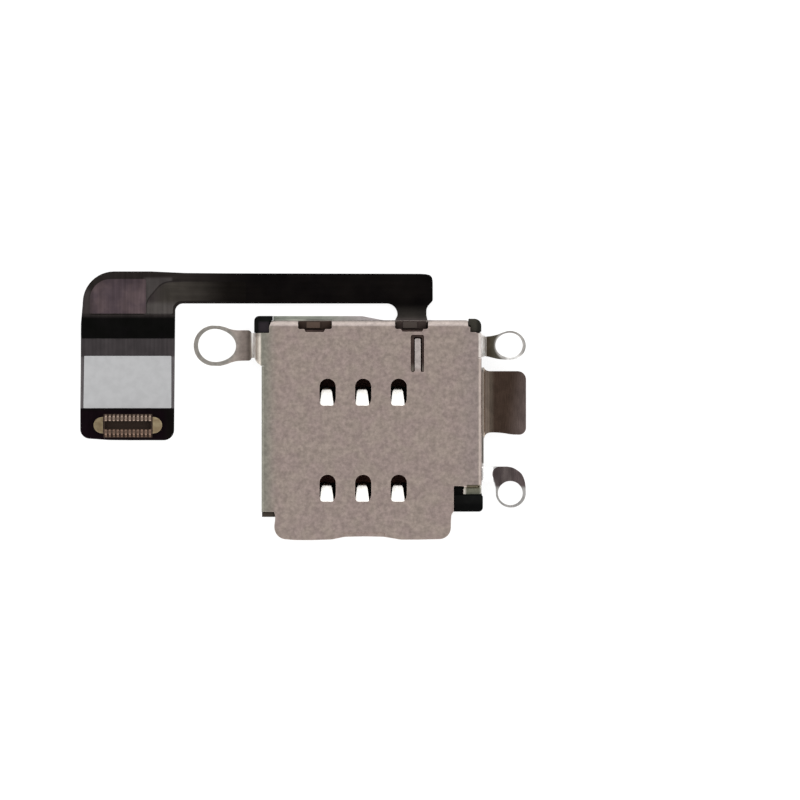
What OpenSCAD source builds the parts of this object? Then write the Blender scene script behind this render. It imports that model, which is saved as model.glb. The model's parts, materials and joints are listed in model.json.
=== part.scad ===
// Card reader with a push ejector, on a flexible circuit that ends in a board connector.
// Millimetres. Z is up, the reader lies flat, and the card tray goes in towards +Y.
// The origin is the middle of the outline, on the underside.

/* [Card slot] */
// Width of the opening that takes the card tray
slot_w = 12; // [11.8:0.1:12.2]
// Height of the opening, for a tray with a card on each face
slot_h = 1.5; // [1.45:0.01:1.5]
// Middle of the opening, along X
slot_x = 4.28; // [4.2:0.02:4.36]
// Spacing of neighbouring card contacts, the standard of card readers
contact_pitch = 2.54; // [2.5:0.01:2.56]
// Distance between the two rows of contacts
row_pitch = 6.86; // [6.8:0.02:6.9]

/* [Shield shell] */
// Gauge of the shell, the base plate and the side bracket
sheet_t = 0.15; // [0.14:0.01:0.16]
// Width over the two side walls
shell_w = 15.72; // [15.7:0.01:15.76]
// Outer radius of the bend along the rear edge
rear_bend_r = 0.36; // [0.3:0.02:0.36]
// Outer radius of the bend along the right edge
right_bend_r = 0.27; // [0.24:0.01:0.27]
// Outer radius of the bend along the left edge
left_bend_r = 0.18; // [0.17:0.01:0.18]
// Width of a contact window
window_w = 1.16; // [1.1:0.02:1.2]
// Length of a contact window
window_l = 1.92; // [1.86:0.02:1.96]
// Downward slope of the spring finger, in degrees
finger_slope = 5; // [2:1:6]

/* [Screw ears] */
// Height of the underside of the ears
ear_z = 0.75; // [0.7:0.05:0.8]
// Radius of the screw hole in the left ear
left_hole_r = 1.2; // [1.15:0.01:1.22]
// Radius of the two screw holes on the right
right_hole_r = 0.88; // [0.84:0.01:0.9]

/* [Flexible circuit] */
// Thickness of the flexible circuit
flex_t = 0.12; // [0.1:0.01:0.14]
// Width of the leg that carries the connector
leg_w = 6.7; // [6.66:0.01:6.72]

/* [Housing] */
// Thickness of the housing floor over the circuit
floor_t = 0.38; // [0.36:0.01:0.4]
// Thickness of the insulator that carries the upper contacts
insulator_t = 0.4; // [0.4:0.01:0.42]

/* [Contacts] */
// Gauge of the contact springs
contact_t = 0.08; // [0.07:0.01:0.08]
// Width of a contact spring at its root
contact_w = 1; // [0.9:0.02:1]

/* [Ejector] */
// Travel of the plunger
plunger_travel = 1; // [0.8:0.1:1]
// Radius of the lever's pivot pin
pivot_r = 0.35; // [0.33:0.01:0.35]
// Radial clearance of the lever on its pin
pivot_gap = 0.03; // [0.02:0.01:0.05]

/* [Board connector] */
// Pins in each of the two rows
pins_per_row = 12; // [10:1:12]
// Spacing of neighbouring pins
pin_pitch = 0.287; // [0.28:0.001:0.29]
// Height of the connector above the circuit
connector_h = 0.54; // [0.5:0.02:0.6]

/* [Hidden] */
$fn = 48;

// levels, from the underside up
z_flex = sheet_t;
z_pad = z_flex + flex_t;
z_floor = z_pad + floor_t;
z_rail = z_floor + slot_h;
z_face = z_rail + insulator_t;
z_top = z_face + sheet_t;
face_c = z_face + sheet_t / 2;
ear_c = ear_z + sheet_t / 2;
wall_z = 0.45;

// the shell's outer faces
xl = -2.96;
xr = xl + shell_w;
yr = 6.07;
front_y = -7.6;
lip_y = -9.6;
notch_y = -5.75;
notch_x = 10.8;
ear_y = 4.3;
left_ear_x = -6.34;
right_ear_x = 14.8;
low_ear_y = -6.24;
slot_l = slot_x - slot_w / 2;
slot_r = slot_x + slot_w / 2;

// contacts: the root of each spring lies at the front edge of its window
row_y = [0, -row_pitch];
column_x = [for (i = [-1:1]) slot_x + 0.02 + i * contact_pitch];
lead_z = z_face - 0.14 - contact_t;
lead_x = -2.45;
lead_w = 0.1;
function lead_y(c, r) = row_y[r] - 0.2 - 0.16 * c;

// ejector: the plunger's nose meets the lever's arm, and the lever turns on its pin
pivot = [9.55, 4.2];
arm_x = 2.05;
arm_h = 0.3;
nose_r = 0.25;
plunger_w = 0.9;
lever_z = z_floor + 0.28;
lever_t = 0.5;
plunger_x = pivot[0] + arm_x;

// connector
conn_x = -12.55;
conn_y = [-0.94, -1.9];
pin_t = 0.06;
pin_w = 0.15;

// ---- helpers ----

function unit(v) = v / norm(v);
function flat(c) = [c[0], c[1]];

// a run of n + 1 points that rounds the corner p, between the directions a and b, to the radius r
function fillet(p, a, b, r, n) =
  r == 0 ? [p] :
  let (h = acos(max(-0.9999999, min(0.9999999, a * b))) / 2,
       o = p + unit(a + b) * r / sin(h),
       s = p + a * r / tan(h) - o,
       e = p + b * r / tan(h) - o,
       f = 180 - 2 * h)
  [for (j = [0:n]) o + (s * sin(f * (1 - j / n)) + e * sin(f * j / n)) / sin(f)];

// a closed outline from corners given as [x, y, radius]
function rounded(c, n = 8) = [
  for (i = [0:len(c) - 1])
    let (k = len(c), p = flat(c[i]),
         a = unit(flat(c[(i + k - 1) % k]) - p),
         b = unit(flat(c[(i + 1) % k]) - p))
    each fillet(p, a, b, c[i][2], n)];

// the middle line of a bent sheet from corners given as [x, y, bend radius]
function bent(c, n = 8) = [
  for (i = [0:len(c) - 1])
    each (i == 0 || i == len(c) - 1 ? [flat(c[i])] :
      fillet(flat(c[i]), unit(flat(c[i - 1]) - flat(c[i])),
             unit(flat(c[i + 1]) - flat(c[i])), c[i][2], n))];

// the outline of a sheet of gauge t around its middle line
function side(p, d) = [
  for (i = [0:len(p) - 1])
    let (a = i == 0 ? unit(p[1] - p[0]) : unit(p[i] - p[i - 1]),
         b = i == len(p) - 1 ? a : unit(p[i + 1] - p[i]),
         m = unit(a + b))
    p[i] + d / (m * a) * [-m[1], m[0]]];
function ribbon(p, t) = let (o = side(p, -t / 2), k = len(o))
  concat(side(p, t / 2), [for (i = [1:k]) o[k - i]]);

module box(a, b) {
  translate(a) cube(b - a);
}

module plate(c, z, t) {
  translate([0, 0, z]) linear_extrude(t) polygon(rounded(c));
}

// a bent sheet seen end on along X, Y or Z
module sheet_x(c, x0, x1, t) {
  translate([x0, 0, 0]) rotate([90, 0, 90]) linear_extrude(x1 - x0) polygon(ribbon(bent(c), t));
}
module sheet_y(c, y0, y1, t) {
  translate([0, y1, 0]) rotate([90, 0, 0]) linear_extrude(y1 - y0) polygon(ribbon(bent(c), t));
}
module sheet_z(c, z0, z1, t) {
  translate([0, 0, z0]) linear_extrude(z1 - z0) polygon(ribbon(bent(c), t));
}

// ---- shield shell ----

face_outline = [
  [-2.3, yr - rear_bend_r, 0], [11.79, yr - rear_bend_r, 0], [11.79, 5.66, 0],
  [11.95, 5.6, 0], [11.95, 5.24, 0.05], [xr - right_bend_r, 5.24, 0],
  [xr - right_bend_r, notch_y, 0], [notch_x, notch_y, 0.06],
  [notch_x, -7.5, 0.4], [10.5, -8, 0.6], [10.5, lip_y, 0.72],
  [6.5, lip_y + 0.01, 1.2], [5.75, lip_y + 0.23, 1.2], [2.95, lip_y + 0.23, 1.2],
  [2.3, lip_y, 1.2], [-1.96, lip_y, 0.68], [-2, -7.85, 0.3],
  [-2.06, front_y, 0.06], [xl + left_bend_r, front_y, 0], [xl + left_bend_r, 5.18, 0],
  [-2.42, 5.18, 0.05], [-2.42, 5.6, 0]];

// arched window over a contact, open from its root at y = 0 towards +Y
module window_outline() {
  r = window_w / 2;
  translate([0, window_l - r]) circle(r);
  polygon([[-r, window_l - r], [r, window_l - r], [r - 0.01, 0.45], [r - 0.1, 0.16],
    [r - 0.24, 0], [-r + 0.2, 0], [-r + 0.07, 0.09], [-r, 0.35]]);
}

module top_shell() {
  color([0.63, 0.58, 0.54])
  union() {
    difference() {
      union() {
        plate(face_outline, z_face, sheet_t);
        // rear and side walls
        sheet_x([[5.6, face_c, 0], [yr - sheet_t / 2, face_c, rear_bend_r - sheet_t / 2],
          [yr - sheet_t / 2, wall_z, 0]], -2.3, 11.79, sheet_t);
        sheet_y([[-2.68, face_c, 0], [xl + sheet_t / 2, face_c, left_bend_r - sheet_t / 2],
          [xl + sheet_t / 2, wall_z, 0]], front_y, 2.8, sheet_t);
        sheet_y([[12.39, face_c, 0], [xr - sheet_t / 2, face_c, right_bend_r - sheet_t / 2],
          [xr - sheet_t / 2, wall_z, 0]], notch_y, 3.4, sheet_t);
        // latch tab, stepped down over the front corner of the housing
        sheet_x([[-5.6, face_c, 0], [-5.78, face_c, 0.1], [-5.89, face_c - 0.3, 0.1],
          [-6.34, face_c - 0.3, 0]], 11.5, 12.72, sheet_t);
        sheet_y([[11.62, face_c - 0.3, 0], [11.5, face_c - 0.3, 0.09],
          [11.43, face_c - 0.52, 0]], -6.34, -6, sheet_t);
      }
      for (x = column_x, y = row_y)
        translate([x, y, z_face - 0.1]) linear_extrude(0.4) window_outline();
      // slot around the spring finger
      plate([[7.69, 2.39, 0.04], [8.65, 2.39, 0.04], [8.65, 5.05, 0.14], [7.69, 5.05, 0.14]],
        z_face - 0.1, 0.4);
      // latch openings across the rear bend
      box([-0.37, 5.43, 1.3], [2.07, 6.3, 3]);
      plate([[0.18, 5.28, 0.08], [1.5, 5.28, 0.08], [1.5, 5.6, 0], [0.18, 5.6, 0]], z_face - 0.1, 0.4);
      box([6.58, 5.42, 1.3], [8.88, 6.3, 3]);
      plate([[7.04, 5.29, 0.08], [8.43, 5.29, 0.08], [8.43, 5.6, 0], [7.04, 5.6, 0]], z_face - 0.1, 0.4);
      // latch openings in the left wall
      for (y = [-5.4, -0.4]) box([xl - 0.1, y, 1.2], [xl + 0.16, y + 1.2, 1.8]);
      // thinned front edge of the lip, and the nicks left by the carrier strip
      box([2.95, lip_y - 0.1, z_top - 0.06], [5.8, -9.11, z_top + 0.1]);
      for (x = [-0.14, 0.93, 7.86, 8.86]) box([x - 0.04, lip_y - 0.1, z_face - 0.1], [x + 0.04, lip_y + 0.06, 3]);
    }
    // spring finger
    sheet_x([[2.3, face_c, 0], [2.66, face_c, 1.6], [4.8, face_c - 2.14 * tan(finger_slope), 0]],
      7.985, 8.43, sheet_t);
  }
}

// screw ears, on straps that step down from the side edges of the face
module left_ear_sheet() {
  sheet_y([[-8, ear_c, 0], [-3.54, ear_c, 0.34], [-3.14, face_c, 0.28],
    [xl + left_bend_r, face_c, 0]], 2.5, 6, sheet_t);
}

module left_ear() {
  color([0.63, 0.58, 0.54])
  difference() {
    union() {
      translate([left_ear_x, ear_y - 0.03, ear_z]) cylinder(r = 1.44, h = sheet_t);
      plate([[-6.1, 5.37, 0], [-4.2, 5.37, 0], [-4.2, 3.24, 0], [-6.1, 3.24, 0]], ear_z, sheet_t);
      intersection() {
        left_ear_sheet();
        plate([[-4.6, 5.37, 0], [-3.71, 5.37, 0.25], [-3.71, 3.24, 0.25], [-4.6, 3.24, 0]], 0.4, 2.5);
      }
      intersection() {
        left_ear_sheet();
        plate([[-4, 5.18, 0], [-4, 3.4, 0], [-3.42, 3.4, 0], [-3.33, 3.22, 0], [-3.12, 2.98, 0],
          [-2.98, 2.84, 0], [-2.6, 2.84, 0], [-2.6, 5.18, 0]], 0.4, 2.5);
      }
    }
    translate([left_ear_x, ear_y, 0.4]) cylinder(r = left_hole_r, h = 1);
    translate([left_ear_x + 0.73, ear_y, 0.4]) cylinder(r = 0.8, h = 1);
  }
}

module right_ear_sheet() {
  sheet_y([[xr - right_bend_r, face_c, 0], [12.62, face_c, 0.16], [13.04, ear_c, 0.24],
    [16.5, ear_c, 0]], 2.5, 6, sheet_t);
}

module upper_right_ear() {
  color([0.63, 0.58, 0.54])
  difference() {
    union() {
      translate([right_ear_x, ear_y, ear_z]) cylinder(r = 1.1, h = sheet_t);
      intersection() {
        right_ear_sheet();
        plate([[14.4, 5.3, 0], [13.09, 4.9, 0.06], [13.09, 3.58, 0.12], [14, 3.32, 0.5], [14.6, 3.3, 0]],
          0.4, 2.5);
      }
      intersection() {
        right_ear_sheet();
        plate([[12.4, 5.18, 0], [12.62, 5.18, 0], [12.86, 5, 0], [13.2, 4.9, 0], [13.2, 3.57, 0],
          [12.95, 3.57, 0], [12.84, 3.52, 0], [12.78, 3.45, 0], [12.4, 3.45, 0]], 0.4, 2.5);
      }
    }
    translate([right_ear_x, ear_y, 0.4]) cylinder(r = right_hole_r, h = 1);
    translate([right_ear_x - 0.5, ear_y, 0.4]) cylinder(r = 0.6, h = 1);
  }
}

// ---- base plate and side bracket ----

module base_plate() {
  color([0.62, 0.62, 0.58])
  plate([[-2.15, 6.41, 0], [4.1, 6.41, 1.4], [5.6, 6.12, 1.4], [11.7, 6.12, 0.2],
    [11.95, 5.9, 0.15], [12.7, 5.9, 0.25], [12.7, -7.45, 0.3], [-2.85, -7.45, 0.3],
    [-2.85, 5.95, 0.2], [-2.15, 5.95, 0]], 0, sheet_t);
}

module side_bracket() {
  w = xr + sheet_t / 2;
  color([0.30, 0.25, 0.23])
  union() {
    // tab that bends out from the leaf against the shell's wall
    intersection() {
      sheet_y([[w, 2, 0], [w, ear_c, 0.55], [16.5, ear_c, 0]], -2.7, 3.2, sheet_t);
      translate([0, 0, 0.4]) linear_extrude(2) polygon(rounded([
        [12.7, 2.8, 0], [12.93, 2.8, 0], [12.93, 2.48, 0.2], [15.95, 2.46, 0.6],
        [15.95, -2.1, 0.6], [12.92, -2, 0.4], [12.92, -2.6, 0], [12.7, -2.6, 0]]));
    }
    box([xr, -4.44, ear_z], [xr + sheet_t, -2.5, 2]);
    // lower ear, on a strap that slopes down from the leaf
    intersection() {
      sheet_y([[w, 1.85, 0], [w, 1.42, 0.12], [13.56, ear_c, 0.12], [16.5, ear_c, 0]], -8, -4, sheet_t);
      translate([0, 0, 0.4]) linear_extrude(2) difference() {
        union() {
          translate([right_ear_x + 0.065, low_ear_y - 0.04]) circle(1.075);
          polygon(rounded([[13.55, -4.37, 0.3], [14.85, -4.37, 0.9], [15.68, -4.84, 0.8],
            [15.94, -6.24, 0], [14.8, -6.3, 0], [13.79, -6.24, 0], [13.6, -5.1, 0.6]]));
          polygon([[12.7, -4.38], [13.8, -4.38], [13.8, -5.42], [12.7, -5.42]]);
        }
        translate([right_ear_x, low_ear_y]) circle(right_hole_r);
      }
    }
  }
}

// ---- housing ----

module lower_housing() {
  hl = xl + sheet_t;
  hr = xr - sheet_t;
  hy = yr - sheet_t;
  ch = [plunger_x - plunger_w / 2 - 0.05, plunger_x + plunger_w / 2 + 0.05];
  color([0.07, 0.07, 0.08])
  union() {
    difference() {
      union() {
        box([hl, -7.586, z_flex], [hr, hy, z_rail]);
        box([xl + 0.03, -7.96, z_flex], [10.55, front_y, z_rail]);
        box([hl, -7.7, z_flex], [10.55, -7.5, z_rail]);
        // corner blocks that show beside the shell
        plate([[-3.49, 5.19, 0.05], [-2.38, 5.19, 0], [-2.38, yr + 0.02, 0], [-2.18, yr + 0.02, 0],
          [-2.18, 6.4, 0], [-3.49, 6.4, 0.36]], z_flex, z_face - 0.04 - z_flex);
        plate([[11.98, 5.27, 0], [12.74, 5.27, 0.05], [12.74, 6.2, 0.5], [11.82, 6.2, 0.05],
          [11.82, 5.72, 0], [11.98, 5.72, 0]], z_flex, z_face - 0.04 - z_flex);
        plate([[10.83, -7.586, 0.05], [12.85, -7.586, 0.3], [12.85, -6.42, 0.12], [10.83, -6.42, 0]],
          z_flex, z_face - 0.1 - z_flex);
        plate([[10.83, -6.6, 0], [12.82, -6.6, 0], [12.73, -6.1, 0.3], [12.73, -5.78, 0.1], [10.83, -5.78, 0]],
          z_flex, z_rail - z_flex);
        box([xl + 0.03, -7.96, z_rail - 0.1], [-2.06, -7.63, z_face - 0.05]);
        // latch noses in the openings of the shell
        for (x = [[-0.3, 2], [6.65, 8.8]]) box([x[0], hy - 0.1, 1.36], [x[1], yr - 0.02, z_rail + 0.12]);
        for (y = [-5.4, -0.4]) box([xl + 0.05, y + 0.05, 1.25], [hl + 0.1, y + 1.15, 1.75]);
      }
      // corner pocket
      box([-3.14, 5.26, z_face - 0.14], [-2.46, 5.96, 3]);
      // opening for the tray, with a lead-in along its lower edge
      box([slot_l, -8.1, z_floor], [slot_r, 5.75, z_rail + 1]);
      translate([slot_l, 0, 0]) rotate([90, 0, 90]) linear_extrude(slot_w)
        polygon([[-8.1, z_floor - 0.2], [-7.9, z_floor - 0.14], [-7.6, z_floor], [-7.6, z_floor + 0.1], [-8.1, z_floor + 0.1]]);
      // channel of the plunger and bay of the lever
      box([ch[0], -8.1, z_floor], [ch[1], -5.7, z_floor + 1.1]);
      box([ch[0], -5.8, z_floor], [ch[1], 4, z_rail + 1]);
      box([slot_r - 0.1, 3.35, z_floor], [12.4, 5.2, z_rail + 1]);
      box([slot_r - 0.1, 5.1, z_floor], [11.9, 5.75, z_rail + 1]);
      translate([pivot[0], pivot[1], z_pad + 0.13]) cylinder(r = pivot_r, h = 2);
      // recess for the flexible circuit
      box([-2.67, -7.77, 0], [10.42, 5.87, z_pad]);
      box([6.5, 5.5, 0], [9, 7, z_pad]);
      // wells of the lower contacts
      for (x = column_x, y = row_y) box([x - 0.56, y - 0.8, 0.2], [x + 0.56, y + 1.35, z_floor + 0.2]);
      // slots for the leads of the upper contacts and of the switch
      for (y = row_y) box([lead_x - 0.1, y - 0.6, 0.2], [lead_x + 0.09, y - 0.12, z_rail + 0.2]);
      box([-1.32, 5.65, 0.2], [-1.08, 5.75, z_floor + 0.2]);
      box([1.98, 5.65, 0.2], [2.22, 5.75, z_floor + 0.2]);
    }
    // tops of the latch noses, over the end of the slot
    for (x = [[-0.3, 2], [6.65, 8.8]]) box([x[0], 5.46, z_rail], [x[1], yr - 0.02, z_rail + 0.12]);
    for (x = [[0.25, 1.21], [7.14, 8.14]]) box([x[0], 5.54, z_rail], [x[1], 6, z_rail + 0.3]);
    // seat of the lever
    translate([pivot[0], pivot[1], z_floor]) difference() {
      cylinder(r = 0.62, h = 0.25);
      translate([0, 0, -0.1]) cylinder(r = pivot_r, h = 0.5);
    }
    // stop that keeps the plunger in its channel
    box([ch[0], -0.75, z_floor], [ch[0] + 0.15, -0.45, z_floor + 1.05]);
  }
}

module upper_insulator() {
  color([0.10, 0.09, 0.08])
  difference() {
    plate([[-2.26, 5.68, 0], [-0.4, 5.68, 0], [-0.4, 5.41, 0], [2.1, 5.41, 0], [2.1, 5.68, 0],
      [6.55, 5.68, 0], [6.55, 5.41, 0], [8.9, 5.41, 0], [8.9, 5.68, 0], [11.74, 5.68, 0],
      [11.74, 5.2, 0], [12.4, 5.2, 0], [12.4, -5.72, 0], [10.76, -5.72, 0], [10.76, -7.58, 0.1],
      [-2.72, -7.58, 0.1], [-2.72, 5.12, 0], [-2.26, 5.12, 0]], z_rail, insulator_t);
    for (x = column_x, y = row_y) box([x - 0.62, y - 0.04, z_rail - 0.1], [x + 0.62, y + 1.98, z_face + 0.1]);
    box([7.93, 2.3, z_rail - 0.1], [8.49, 4.88, z_face + 0.1]);
    // grooves that the leads lie in
    for (c = [0:2], r = [0:1]) {
      box([column_x[c] - 0.44, row_y[r] - 0.26 - 0.16 * c, lead_z], [column_x[c] + 0.44, row_y[r], z_face + 0.1]);
      box([lead_x - 0.06, lead_y(c, r) - 0.06, lead_z], [column_x[c], lead_y(c, r) + 0.06, z_face + 0.1]);
      box([lead_x - 0.06, lead_y(c, r) - 0.06, z_rail - 0.1], [lead_x + 0.06, lead_y(c, r) + 0.06, z_face + 0.1]);
    }
  }
}

// ---- card contacts ----

// plan of a contact spring, rooted at y = 0: it narrows towards its tip
module spring_outline(back) {
  r = contact_w / 2;
  polygon(rounded([[-0.42, -back, 0], [0.42, -back, 0], [0.42, -0.12, 0], [r - 0.08, 0.18, 0.1],
    [r - 0.2, 0.95, 0.1], [r - 0.26, 1.35, 0.05], [-r + 0.12, 1.35, 0.05], [-r + 0.05, 0.95, 0.1],
    [-r - 0.06, 0.18, 0.1], [-0.42, -0.06, 0]], 4));
}

// the spring slopes down into the slot and ends in a nose; its lead runs to the
// left rail and down to the circuit
module upper_contact(c, r) {
  back = 0.25 + 0.16 * c;
  zc = lead_z + contact_t / 2;
  x = column_x[c];
  y = row_y[r];
  color([0.95, 0.93, 0.88])
  union() {
    intersection() {
      translate([0, y, 0]) sheet_x([[-back, zc, 0], [-0.1, zc, 0.12], [1.1, zc - 0.5, 0.16],
        [1.18, zc - 0.72, 0]], x - 0.6, x + 0.6, contact_t);
      translate([x, y, z_floor]) linear_extrude(3) spring_outline(back);
    }
    box([lead_x - contact_t / 2, lead_y(c, r) - lead_w / 2, lead_z],
      [x - 0.3, lead_y(c, r) + lead_w / 2, lead_z + contact_t]);
    box([lead_x - contact_t / 2, lead_y(c, r) - lead_w / 2, z_pad],
      [lead_x + contact_t / 2, lead_y(c, r) + lead_w / 2, lead_z + contact_t]);
  }
}

// the same spring turned over, soldered straight onto the circuit
module lower_contact(c, r) {
  zc = z_pad + contact_t / 2;
  x = column_x[c];
  y = row_y[r];
  color([0.85, 0.70, 0.40])
  intersection() {
    translate([0, y, 0]) sheet_x([[-0.7, zc, 0], [-0.1, zc, 0.12], [1.1, zc + 0.5, 0.16],
      [1.18, zc + 0.72, 0]], x - 0.6, x + 0.6, contact_t);
    translate([x, y, 0]) linear_extrude(3) spring_outline(0.7);
  }
}

module upper_contact_1() { upper_contact(0, 0); }
module upper_contact_2() { upper_contact(1, 0); }
module upper_contact_3() { upper_contact(2, 0); }
module upper_contact_4() { upper_contact(0, 1); }
module upper_contact_5() { upper_contact(1, 1); }
module upper_contact_6() { upper_contact(2, 1); }
module lower_contact_1() { lower_contact(0, 0); }
module lower_contact_2() { lower_contact(1, 0); }
module lower_contact_3() { lower_contact(2, 0); }
module lower_contact_4() { lower_contact(0, 1); }
module lower_contact_5() { lower_contact(1, 1); }
module lower_contact_6() { lower_contact(2, 1); }

// ---- switch that senses the tray ----

module detect_switch_spring() {
  y = 5.75 - contact_t / 2;
  color([0.85, 0.70, 0.40])
  union() {
    sheet_z([[-1.3, y, 0], [-0.6, y, 0.15], [0.1, 4.85, 0.3], [1.05, 4.78, 0.3], [1.75, 5.1, 0]],
      1, 1.8, contact_t);
    box([-1.3, 5.75 - contact_t, z_pad], [-1.1, 5.75, 1.1]);
  }
}

module detect_switch_contact() {
  color([0.85, 0.70, 0.40])
  union() {
    box([1.5, 5.75 - contact_t, 1], [2.35, 5.75, 1.8]);
    box([2, 5.75 - contact_t, z_pad], [2.2, 5.75, 1.1]);
  }
}

// ---- ejector ----

// slides towards +Y when a pin is pushed into its front end
module eject_plunger() {
  x0 = plunger_x - plunger_w / 2;
  x1 = plunger_x + plunger_w / 2;
  tip = pivot[1] - arm_h - 0.03 - nose_r;
  color([0.16, 0.16, 0.17])
  difference() {
    union() {
      box([x0, -7.45, z_floor + 0.05], [x1, 3.2, z_floor + 1.05]);
      box([plunger_x - nose_r, 3.1, lever_z], [plunger_x + nose_r, tip, lever_z + lever_t]);
      translate([plunger_x, tip, lever_z]) cylinder(r = nose_r, h = lever_t);
    }
    translate([plunger_x, -7.451, z_floor + 0.55]) rotate([-90, 0, 0]) cylinder(r1 = 0.28, r2 = 0.1, h = 0.14);
    // groove that runs past the stop
    box([x0 - 0.1, -0.8 - plunger_travel, z_floor], [x0 + 0.15, -0.4, z_floor + 1.2]);
  }
}

// turns anticlockwise seen from above, and its long arm pushes the tray out
module eject_lever() {
  color([0.72, 0.71, 0.68])
  translate([pivot[0], pivot[1], lever_z]) linear_extrude(lever_t) difference() {
    union() {
      circle(0.68);
      translate([0, -arm_h]) square([2.05, 0.55]);
      translate([2.05, -arm_h + 0.275]) circle(0.275);
      translate([-2.85, -arm_h]) square([2.85, 0.55]);
      translate([-2.85, -arm_h + 0.275]) circle(0.275);
    }
    circle(pivot_r + pivot_gap);
  }
}

module lever_pivot() {
  color([0.78, 0.78, 0.76])
  translate([pivot[0], pivot[1], 0]) union() {
    translate([0, 0, z_pad + 0.13]) cylinder(r = pivot_r, h = lever_z + lever_t + 0.03 - z_pad - 0.13);
    translate([0, 0, lever_z + lever_t + 0.03]) cylinder(r = 0.6, h = 0.2);
  }
}

// ---- flexible circuit with its board connector ----

leg_x = -15.95;
flex_outline = [
  [leg_x, -2.4, 0.55], [leg_x + 1.6, -2.49, 2], [leg_x + leg_w, -2.49, 0.75], [-9.16, 7.3, 0.5],
  [6.743, 7.3, 0.78], [6.743, 6.45, 0.3], [6.571, 6.1, 0], [6.571, 5.82, 0],
  [-2.65, 5.82, 0.3], [-2.65, -7.75, 0.3], [10.4, -7.75, 0.3], [10.4, 5.82, 0.3],
  [8.9, 5.82, 0], [8.9, 6.1, 0], [8.82, 6.45, 0.3], [8.82, 7, 0.6], [9.286, 7.5, 0.3],
  [9.286, 9.43, 0.2], [-5.5, 9.465, 8], [-8.4, 9.487, 8], [-10.9, 9.6, 5], [-15.79, 9.6, 2.25],
  [-15.79, 7.3, 3], [leg_x + 0.03, 5.85, 2], [leg_x + 0.03, 1, 2], [leg_x, 0, 2]];

module flex_circuit() {
  color([0.06, 0.06, 0.06]) plate(flex_outline, z_flex, flex_t);
}

module connector_stiffener() {
  color([0.60, 0.60, 0.58])
  plate([[leg_x + 0.07, -2.32, 0.4], [leg_x + leg_w - 0.05, -2.32, 0.4],
    [leg_x + leg_w - 0.05, 3.95, 0.3], [leg_x + 0.07, 3.95, 0.3]], 0, sheet_t);
}

module label() {
  color([0.74, 0.74, 0.75])
  plate([[-15.68, -0.19, 0.06], [-9.44, -0.19, 0.06], [-9.44, 3.55, 0.06], [-15.68, 3.55, 0.06]],
    z_pad, 0.05);
}

module connector_housing() {
  h = pins_per_row * pin_pitch / 2 + 0.02;
  color([0.09, 0.08, 0.08])
  union() {
    box([conn_x - h, -2.02, z_pad], [conn_x + h, -0.82, z_pad + 0.14]);
    // rails that the pins wrap around
    for (y = conn_y) box([conn_x - h, y - 0.13, z_pad], [conn_x + h, y + 0.13, z_pad + connector_h - pin_t]);
    // end blocks under the fittings
    for (s = [-1, 1]) translate([conn_x, 0, z_pad]) mirror([s < 0 ? 1 : 0, 0, 0]) linear_extrude(connector_h - pin_t)
      polygon(rounded([[h - 0.1, -2.03, 0], [h + 0.1, -2.03, 0], [2.25, -1.75, 0.3], [2.25, -1.09, 0.3],
        [h + 0.1, -0.81, 0], [h - 0.1, -0.81, 0]]));
  }
}

// one pin wraps the rail and ends in a foot on the circuit
module connector_pins() {
  z0 = z_pad + pin_t / 2;
  z1 = z_pad + connector_h - pin_t / 2;
  color([0.72, 0.62, 0.52])
  for (s = [1, -1], i = [0:pins_per_row - 1]) {
    y = s > 0 ? conn_y[0] : conn_y[1];
    x = conn_x + (i - (pins_per_row - 1) / 2) * pin_pitch;
    sheet_x([[y + s * 0.34, z0, 0], [y + s * 0.16, z0, 0.04], [y + s * 0.16, z1, 0.05],
      [y - s * 0.16, z1, 0.05], [y - s * 0.16, z_pad + 0.22, 0]], x - pin_w / 2, x + pin_w / 2, pin_t);
  }
}

// hold-down cap over an end block, with a foot at its outer end
module fitting(s) {
  h = pins_per_row * pin_pitch / 2 + 0.06;
  color([0.80, 0.70, 0.48])
  translate([conn_x, 0, 0]) mirror([s < 0 ? 1 : 0, 0, 0]) union() {
    translate([0, 0, z_pad + connector_h - pin_t]) linear_extrude(pin_t)
      polygon(rounded([[h, -1.99, 0.04], [h + 0.2, -1.99, 0.3], [2.45, -1.7, 0.36], [2.45, -1.12, 0.36],
        [h + 0.2, -0.83, 0.3], [h, -0.83, 0.04]]));
    box([2.3, -1.56, z_pad], [2.36, -1.28, z_pad + connector_h - pin_t / 2]);
    box([2.3, -1.56, z_pad], [2.44, -1.28, z_pad + pin_t]);
  }
}

module connector_fitting_left() { fitting(-1); }
module connector_fitting_right() { fitting(1); }

top_shell();
left_ear();
upper_right_ear();
base_plate();
side_bracket();
lower_housing();
upper_insulator();
upper_contact_1();
upper_contact_2();
upper_contact_3();
upper_contact_4();
upper_contact_5();
upper_contact_6();
lower_contact_1();
lower_contact_2();
lower_contact_3();
lower_contact_4();
lower_contact_5();
lower_contact_6();
detect_switch_spring();
detect_switch_contact();
eject_plunger();
eject_lever();
lever_pivot();
flex_circuit();
connector_stiffener();
label();
connector_housing();
connector_pins();
connector_fitting_left();
connector_fitting_right();
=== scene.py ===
import json
import math

import bmesh
import bpy
from mathutils import Matrix, Vector


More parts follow.
